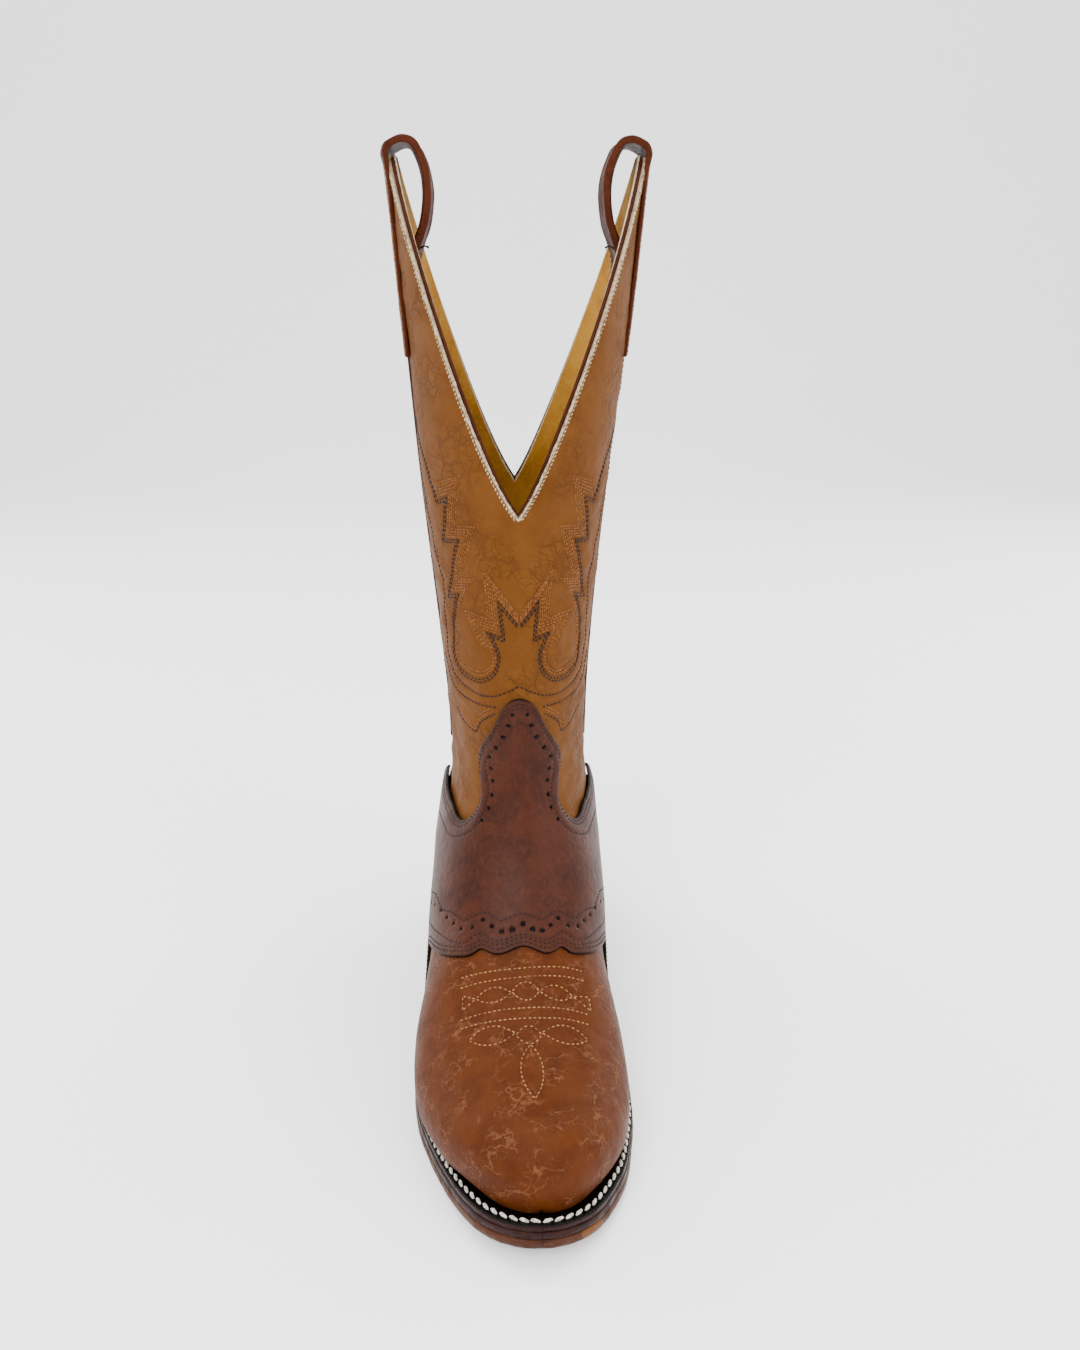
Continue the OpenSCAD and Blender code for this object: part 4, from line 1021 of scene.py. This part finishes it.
for d in (-1, 1):
    bug.append(fine([[5.24, 0.003], [4.95, d * 0.02 + 0.003], [4.6, d * 0.027 + 0.003],
                     [4.25, d * 0.02 + 0.003], [3.9, 0.002]], 8))
vamp = Sheet("vamp_leather", guide_grid(VAMP_GUIDES, 190, 95), 0, -2.0, folds=vamp_folds,
             seams=base_points(bug), depth=0.22, lifted=True, turn=0.6, seam_width=1.2)
place(vamp.object, "bend", VAMP, "vamp_leather", "vamp")
sew("toe_bug_stitches", bug, vamp, 2.3, 0.34, "bend", BUG, "tan_thread", "toe_bug_stitching", fill=0.72)

# saddle: rows along its edges and above and below the punched holes
saddle_rows = []
for inside, from_top, most in ((2.0, True, 0.985), (4.0, True, 0.985), (2.4, False, 0.8), (4.6, False, 0.78)):
    saddle_rows += inset_rows(SADDLE_GUIDES, 120, 90, inside, from_top, (0, most))
ZIGZAG = [[7.93, 0], [7.78, 0.062], [8.07, 0.12], [7.98, 0.184], [8.35, 0.245], [8.5, 0.29], [8.95, 0.34],
          [9.15, 0.4], [9.35, 0.46]]
UNDER = [[7.46, 0], [7.36, 0.073], [7.6, 0.132], [7.5, 0.18], [7.72, 0.24], [8.05, 0.3], [8.35, 0.36],
         [8.7, 0.43]]
TONGUE_ROW = [[14.55, 0.001], [14.3, 0.03], [13.9, 0.055], [13.45, 0.1], [13.1, 0.128], [12.6, 0.126],
              [12, 0.112], [11.4, 0.112], [10.8, 0.122], [10.3, 0.15], [10.1, 0.2], [10.25, 0.27],
              [10.9, 0.33], [11.6, 0.4]]
saddle_rows += both(ZIGZAG, 8, True) + both(UNDER, 8) + both(TONGUE_ROW, 8)
# punched holes as [u, |t|, radius in mm]
HOLES = [[14.8, 0.028, 1.1], [14.4, 0.044, 1.25], [13.93, 0.064, 1.25], [13.53, 0.09, 1.25],
         [13.2, 0.115, 1.2], [12.7, 0.107, 1.1], [12.18, 0.098, 1.1], [11.46, 0.098, 1.1],
         [10.87, 0.107, 1.1], [10.46, 0.131, 1.1],
         [7.57, 0.03, 1.45], [7.55, 0.061, 1.45], [7.7, 0.091, 1.25], [7.89, 0.121, 1.25], [7.78, 0.156, 1.1],
         [7.85, 0.197, 1.1], [8.06, 0.23, 1.1], [8.28, 0.264, 1.1], [8.52, 0.3, 1.0], [8.75, 0.345, 1.0],
         [8.9, 0.39, 1.0], [9.0, 0.43, 1.0]]
spots = [[7.68, 0.0, 1.4]] + [[u, side * t, r] for u, t, r in HOLES for side in (-1, 1)]
saddle = Sheet("saddle_leather", guide_grid(SADDLE_GUIDES, 190, 175, 5), 1.95, 0.15, folds=saddle_folds,
               seams=base_points(saddle_rows), depth=0.22, lifted=True, turn=0.75, ease=0.8,
               seam_width=0.9, holes=spots)
place(saddle.object, "bend", SADDLE, "saddle_leather", "saddle_overlay")
sew("saddle_stitches", saddle_rows, saddle, 2.3, 0.36, "bend", BROWN, "brown_thread", "saddle_stitching",
    fill=0.52)

COUNTER_GUIDES = [COUNTER_LOW, COUNTER_TOP]
counter = Sheet("counter_leather", guide_grid(COUNTER_GUIDES, 84, 90), 0, -2.0, folds=saddle_folds,
                lifted=True, turn=0.8, ease=0.8)
place(counter.object, "bend", SADDLE, "saddle_leather", "counter_cover")
counter_rows = []
for inside, most in ((2.2, 0.9), (4.4, 0.88)):
    counter_rows += inset_rows(COUNTER_GUIDES, 84, 90, inside, True, (0.01, most), 0)
sew("counter_stitches", counter_rows, counter, 2.4, 0.38, "bend", BROWN, "brown_thread", "counter_stitching")
TOE_LINING = [[[0.6, i / 12 * 0.96] for i in range(13)],
              [[9.4 - 1.0 * float(ramp(i / 12, 0.1, 0.45)), i / 12 * 0.96] for i in range(13)]]
toe_lining = Sheet("vamp_lining_leather", guide_grid(TOE_LINING, 60, 40), -4.2, -5.2, lifted=True, turn=0.2)
place(toe_lining.object, "foot", FOOT_LINING, "foot_lining", "vamp_lining")
HEEL_LINING_TOP = [[0.68 * b[0] + 0.32 * a[0], 0.68 * b[1] + 0.32 * a[1]]
                   for a, b in zip(COUNTER_LOW, COUNTER_TOP)]
heel_lining = Sheet("heel_lining_leather", guide_grid([COUNTER_LOW, HEEL_LINING_TOP], 40, 50), -4.4, -5.4,
                    lifted=True, turn=0.2)
place(heel_lining.object, "foot", SUEDE, "gold_lining", "heel_lining")

# ---- Sole -----------------------------------------------------------------------------------
# Height of the outsole's underside, as [y, z].
PROFILE = np.array([[-160, 12], [-145, 8], [-128, 4.5], [-110, 2], [-90, 0.4], [-75, 0], [-60, 0],
                    [-45, 0.4], [-20, 3], [0, 8.5], [20, 15.5], [40, 22], [62, 27],
                    [90, 28.3], [120, 29.4], [160, 30.5]], float)


def bottom_z(y):
    soft = [np.interp(y + d, PROFILE[:, 0], PROFILE[:, 1]) for d in (-6, -3, 0, 3, 6)]
    return np.where((y > -82) & (y < -53), np.interp(y, PROFILE[:, 0], PROFILE[:, 1]), np.mean(soft, 0))


def ledge(y):
    """How far the sole stands out beyond the leathers."""
    return mix(mix(8.8, 4.8, ramp(y, -145, -85)), mix(2.5, 5, ramp(y, 55, 100)), ramp(y, -40, 30))


def rim(u, side, part, extra):
    """Points of the sole's outline and the directions that face outward there."""
    u = np.asarray(u, float)
    p = surface(u, side)[..., :2]
    ahead, behind = surface(np.minimum(u + 0.04, 11.995), side), surface(np.maximum(u - 0.04, 0.012), side)
    d = unit(ahead[..., :2] - behind[..., :2])
    n = np.stack([-d[..., 1], d[..., 0]], -1) if side < 0 else np.stack([d[..., 1], -d[..., 0]], -1)
    return p + n * (ledge(p[..., 1]) * part + extra)[..., None], n


def above_sole(z):
    """The height z above the outsole's underside, as a function of (x, y)."""
    return lambda x, y: bottom_z(np.asarray(y, float)) + z


def flat(z):
    """The height z above the floor, as a function of (x, y)."""
    return lambda x, y: np.full(np.shape(y), float(z))


def slab(extra, z_low, z_high, stations, round_low=0.6, round_high=0.6, bulge=0.0, breast=0.0, seed=1.0):
    """A solid sole layer, extra mm wider than the sole. z_low and z_high are functions of (x, y)."""
    h = np.array([0, 0.04, 0.12, 0.3, 0.5, 0.7, 0.88, 0.96, 1])
    left, nl = rim(stations, -1, 1, extra)
    right, nr = rim(stations, 1, 1, extra)
    W = np.linspace(-1, 1, 15)[None, :, None]
    thick = float(np.mean(z_high(0, left[:, 1]) - z_low(0, left[:, 1])))
    e = -rounding(h * thick, round_low) - rounding((1 - h) * thick, round_high) + bulge * np.sin(np.pi * h)

    def edge_points(p, n):
        xy = p[:, None] + n[:, None] * e[None, :, None]
        lo, hi = z_low(p[:, 0], p[:, 1]), z_high(p[:, 0], p[:, 1])
        z = lo[:, None] + (hi - lo)[:, None] * h[None]
        P = np.concatenate([xy, z[..., None]], -1)
        P[..., :2] += n[:, None] * (0.12 * waves(P * [0.6, 0.6, 1.5], 3.0, seed, 2))[..., None]
        return P

    L, R = edge_points(left, nl), edge_points(right, nr)
    f = (W + 1) / 2
    low = mix(L[:, :1], R[:, :1], f)
    high = mix(L[:, -1:], R[:, -1:], f)
    low[..., 2] = z_low(low[..., 0], low[..., 1])
    high[..., 2] = z_high(high[..., 0], high[..., 1])
    ring = np.concatenate([low[:, 1:-1], R, high[:, -2:0:-1], L[:, ::-1]], 1)
    if breast:
        curve = breast * (1 - np.clip(np.abs(ring[:1, :, 0]) / np.abs(ring[0, :, 0]).max(), 0, 1) ** 2)
        fadeout = np.clip(1 - np.arange(len(stations)) / 6, 0, 1)[:, None]
        ring[..., 1] += curve * fadeout
    n, m = ring.shape[:2]
    faces = ring_quads(n, m)[:, ::-1].tolist()
    faces += [list(range(m)), list(range((n - 1) * m, n * m))[::-1]]
    return ring.reshape(-1, 3), faces


def layer(name, material, slot, node, *where, **kw):
    """One slab of the sole, which stands in for a CAD node."""
    place(mesh_object(name, *slab(*where, **kw)), "foot", material, slot, node)


# stations round the sole, closer together at the toe and at the back of the heel
near = np.array([0.012, 0.03, 0.06, 0.1, 0.15, 0.21, 0.28, 0.36, 0.45, 0.55])
every = np.concatenate([near, np.arange(0.66, 11.4, 0.1), 12 - np.append(near[:0:-1], 0.01)])
layer("outsole_layer", LIGHT_SOLE, "outsole_leather", "outsole", 0.0, above_sole(0), above_sole(5), every,
      round_low=1.2, round_high=0.5, bulge=0.25, seed=2.0)
layer("midsole_layer", DARK_SOLE, "dark_sole_leather", "midsole", -0.25, above_sole(5.02), above_sole(9.0),
      every, round_low=0.5, round_high=0.4, bulge=0.2, seed=3.0)
rim_y = rim(every, -1, 1, 0)[0][:, 1]
layer("welt_strip", WELT, "black_welt", "welt", -0.6, above_sole(9.02), above_sole(12.1), every[rim_y < 47],
      round_low=0.4, round_high=0.9, seed=4.0)
layer("heel_seat_rand", DARK_SOLE, "dark_sole_leather", "heel_rand", -0.7, above_sole(9.02),
      above_sole(12.1), every[rim_y > 44], round_low=0.4, round_high=0.9, seed=5.0)


def welt_steps(side, part, extra, start, pitch):
    """Evenly spaced stations along the welt."""
    u = np.linspace(0.02, 8.9, 2600)
    run = run_length(rim(u, side, part, extra)[0])
    return np.interp(np.arange(start, run[-1] - 1, pitch), run, u)


def lifted(P, z):
    return np.concatenate([P, (bottom_z(P[:, 1]) + z)[:, None]], -1)


def level(n):
    return np.concatenate([n, np.zeros((len(n), 1))], -1)


# welt stitches: slanted, plump and waxed
parts = []
for side in (-1, 1):
    U = welt_steps(side, 0.5, 0.3, 2.4, 4.8)
    P, n = rim(U, side, 0.5, 0.3)
    C = lifted(P, 12.45)
    D = unit(lifted(rim(U + 0.01, side, 0.5, 0.3)[0], 12.45) - C)
    up = unit(np.cross(level(n), D) * (1 if side < 0 else -1))
    up *= np.sign(up[:, 2:3])
    D = unit(D - level(n) * 0.3)
    parts.append(stitch_mesh(C, D, up, 4.7, 0.78, sides=10, twist=2.6, sink=0.6))
place(mesh_object("welt_stitches", *join(parts)), "foot", WHITE, "white_thread", "welt_stitching")
# wheel marks: short dark ridges pressed across the edge of the welt
parts = []
for side in (-1, 1):
    P, n = rim(welt_steps(side, 1.0, -1.3, 1, 1.9), side, 1.0, -1.5)
    C = lifted(P, 12.0)
    parts.append(stitch_mesh(C, level(n), np.broadcast_to([0, 0, 1.0], C.shape), 2.0, 0.45, sides=6))
place(mesh_object("welt_wheel_marks", *join(parts)), "foot", WELT, "black_welt")

SEAT, CAP = 27, 6
LIFT = (SEAT - CAP) / 4
u_heel = np.linspace(8.5, 10.5, 200)
u_breast = np.interp(62, rim(u_heel, -1, 1, 0)[0][:, 1], u_heel)
heel_st = np.concatenate([[u_breast], every[every > u_breast + 0.03]])
for k in range(1, 5):
    z0 = CAP + (k - 1) * LIFT
    high = flat(z0 + LIFT - 0.05) if k < 4 else above_sole(-0.03)
    layer(f"heel_lift_layer_{k}", HEEL_A if k % 2 else HEEL_B, "heel_leather", f"heel_lift_{k}",
          -(0.4 + 0.45 * (4 - k)), flat(z0), high, heel_st, round_low=0.35, round_high=0.35, bulge=0.1,
          breast=3.0, seed=6.0 + k)
layer("heel_cap_rubber", RUBBER, "heel_rubber", "heel_cap", -2.2, flat(0.0), flat(CAP - 0.05), heel_st,
      round_low=0.8, round_high=0.3, breast=3.0, seed=11.0)


# ---- CAD nodes that stay as they are --------------------------------------------------------
def simple(name, main, dark, rough, metal=0.0):
    """Cork, wood or steel with soft spots."""
    size = 3.0
    m = Nodes(name)
    m.coords(None)
    color = m.blend(m.curve(m.noise(size, 4, 0.6), 0.35, 0.7), main, dark)
    shine = m.curve(m.noise(size / 2, 3), 0.3, 0.7, rough, rough + 0.2)
    return m.done(color, shine, m.bump(m.noise(size / 5, 3), 0.1), Metallic=metal)


kept = {
    "cork_filler": simple("cork", srgb(150, 112, 70), srgb(96, 66, 38), 0.85),
    "shank": simple("shank_steel", srgb(140, 144, 148), srgb(100, 102, 106), 0.35, 1.0),
    "waist_pegs": simple("peg_wood", srgb(216, 186, 138), srgb(180, 146, 98), 0.7),
    "heel_nails": simple("nail_steel", srgb(150, 146, 138), srgb(104, 98, 90), 0.35, 1.0),
}
for node, tag, main, dark, light in (
        ("insole", "insole", (190, 150, 104), (160, 120, 80), (210, 174, 130)),
        ("sock_liner", "sock", (196, 152, 84), (164, 122, 60), (214, 176, 112)),
        ("toe_box", "toe_box", (200, 178, 138), (170, 146, 106), (218, 200, 164)),
        ("counter_stiffener", "stiffener", (180, 154, 118), (150, 124, 90), (200, 178, 144))):
    kept[node] = leather(f"{tag}_leather", srgb(*main), srgb(*dark), srgb(*light), attribute=None)
for node, material in kept.items():
    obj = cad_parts[node]
    if not obj.material_slots:
        obj.data.materials.append(material)
    for s in obj.material_slots:
        s.material = material

# ---- Floor, light and camera ----------------------------------------------------------------
# a seamless sheet of paper: flat under the boot, then swept up behind it
bent = [(1.6 + 1.4 * math.sin(a), 1.4 - 1.4 * math.cos(a)) for a in np.linspace(0.05, 1.55, 30)]
sweep = [(-6, 0), (1.6, 0)] + bent + [(3.0, 6)]
verts = [(x, y, z - 0.0003) for y, z in sweep for x in (-7, 7)]
data = bpy.data.meshes.new("floor")
data.from_pydata(verts, [], [(2 * i, 2 * i + 1, 2 * i + 3, 2 * i + 2) for i in range(len(sweep) - 1)])
data.polygons.foreach_set("use_smooth", [True] * len(data.polygons))
floor = bpy.data.objects.new("floor", data)
bpy.context.collection.objects.link(floor)
m = Nodes("floor_paper")
m.coords(None)
paper = m.blend(m.noise(400, 2), (0.95, 0.95, 0.95, 1), (0.92, 0.92, 0.92, 1))
floor.data.materials.append(m.done(paper, 0.9, Specular_IOR_Level=0.1))

world = bpy.data.worlds.new("studio")
bpy.context.scene.world = world
world.use_nodes = True
world.node_tree.nodes["Background"].inputs[0].default_value = (1, 1, 1, 1)
world.node_tree.nodes["Background"].inputs[1].default_value = 1.9


def area(name, where, aim, size, power):
    data = bpy.data.lights.new(name, "AREA")
    data.shape, data.size, data.size_y = "RECTANGLE", size[0], size[1]
    data.energy = power
    obj = bpy.data.objects.new(name, data)
    bpy.context.collection.objects.link(obj)
    obj.location = where
    obj.rotation_euler = (Vector(aim) - Vector(where)).to_track_quat("-Z", "Y").to_euler()


area("key", (-0.55, -1.3, 1.5), (0, 0, 0.2), (1.0, 1.0), 40)
area("fill", (1.2, -1.0, 0.8), (0, 0, 0.2), (0.9, 1.2), 16)
area("top", (0, 0.3, 1.9), (0, 0, 0.2), (1.4, 1.4), 30)
area("rim_left", (-1.3, 0.7, 0.7), (0, 0, 0.25), (0.6, 1.2), 14)
area("rim_right", (1.3, 0.8, 0.7), (0, 0, 0.25), (0.6, 1.2), 14)

lens = bpy.data.cameras.new("camera")
lens.lens, lens.sensor_width, lens.sensor_fit = 36.07, 36, "HORIZONTAL"
camera = bpy.data.objects.new("camera", lens)
bpy.context.collection.objects.link(camera)
camera.location = (-0.0105, -0.491, 0.387)
camera.rotation_euler = (math.radians(70), 0, math.radians(-2.2))
bpy.context.scene.camera = camera
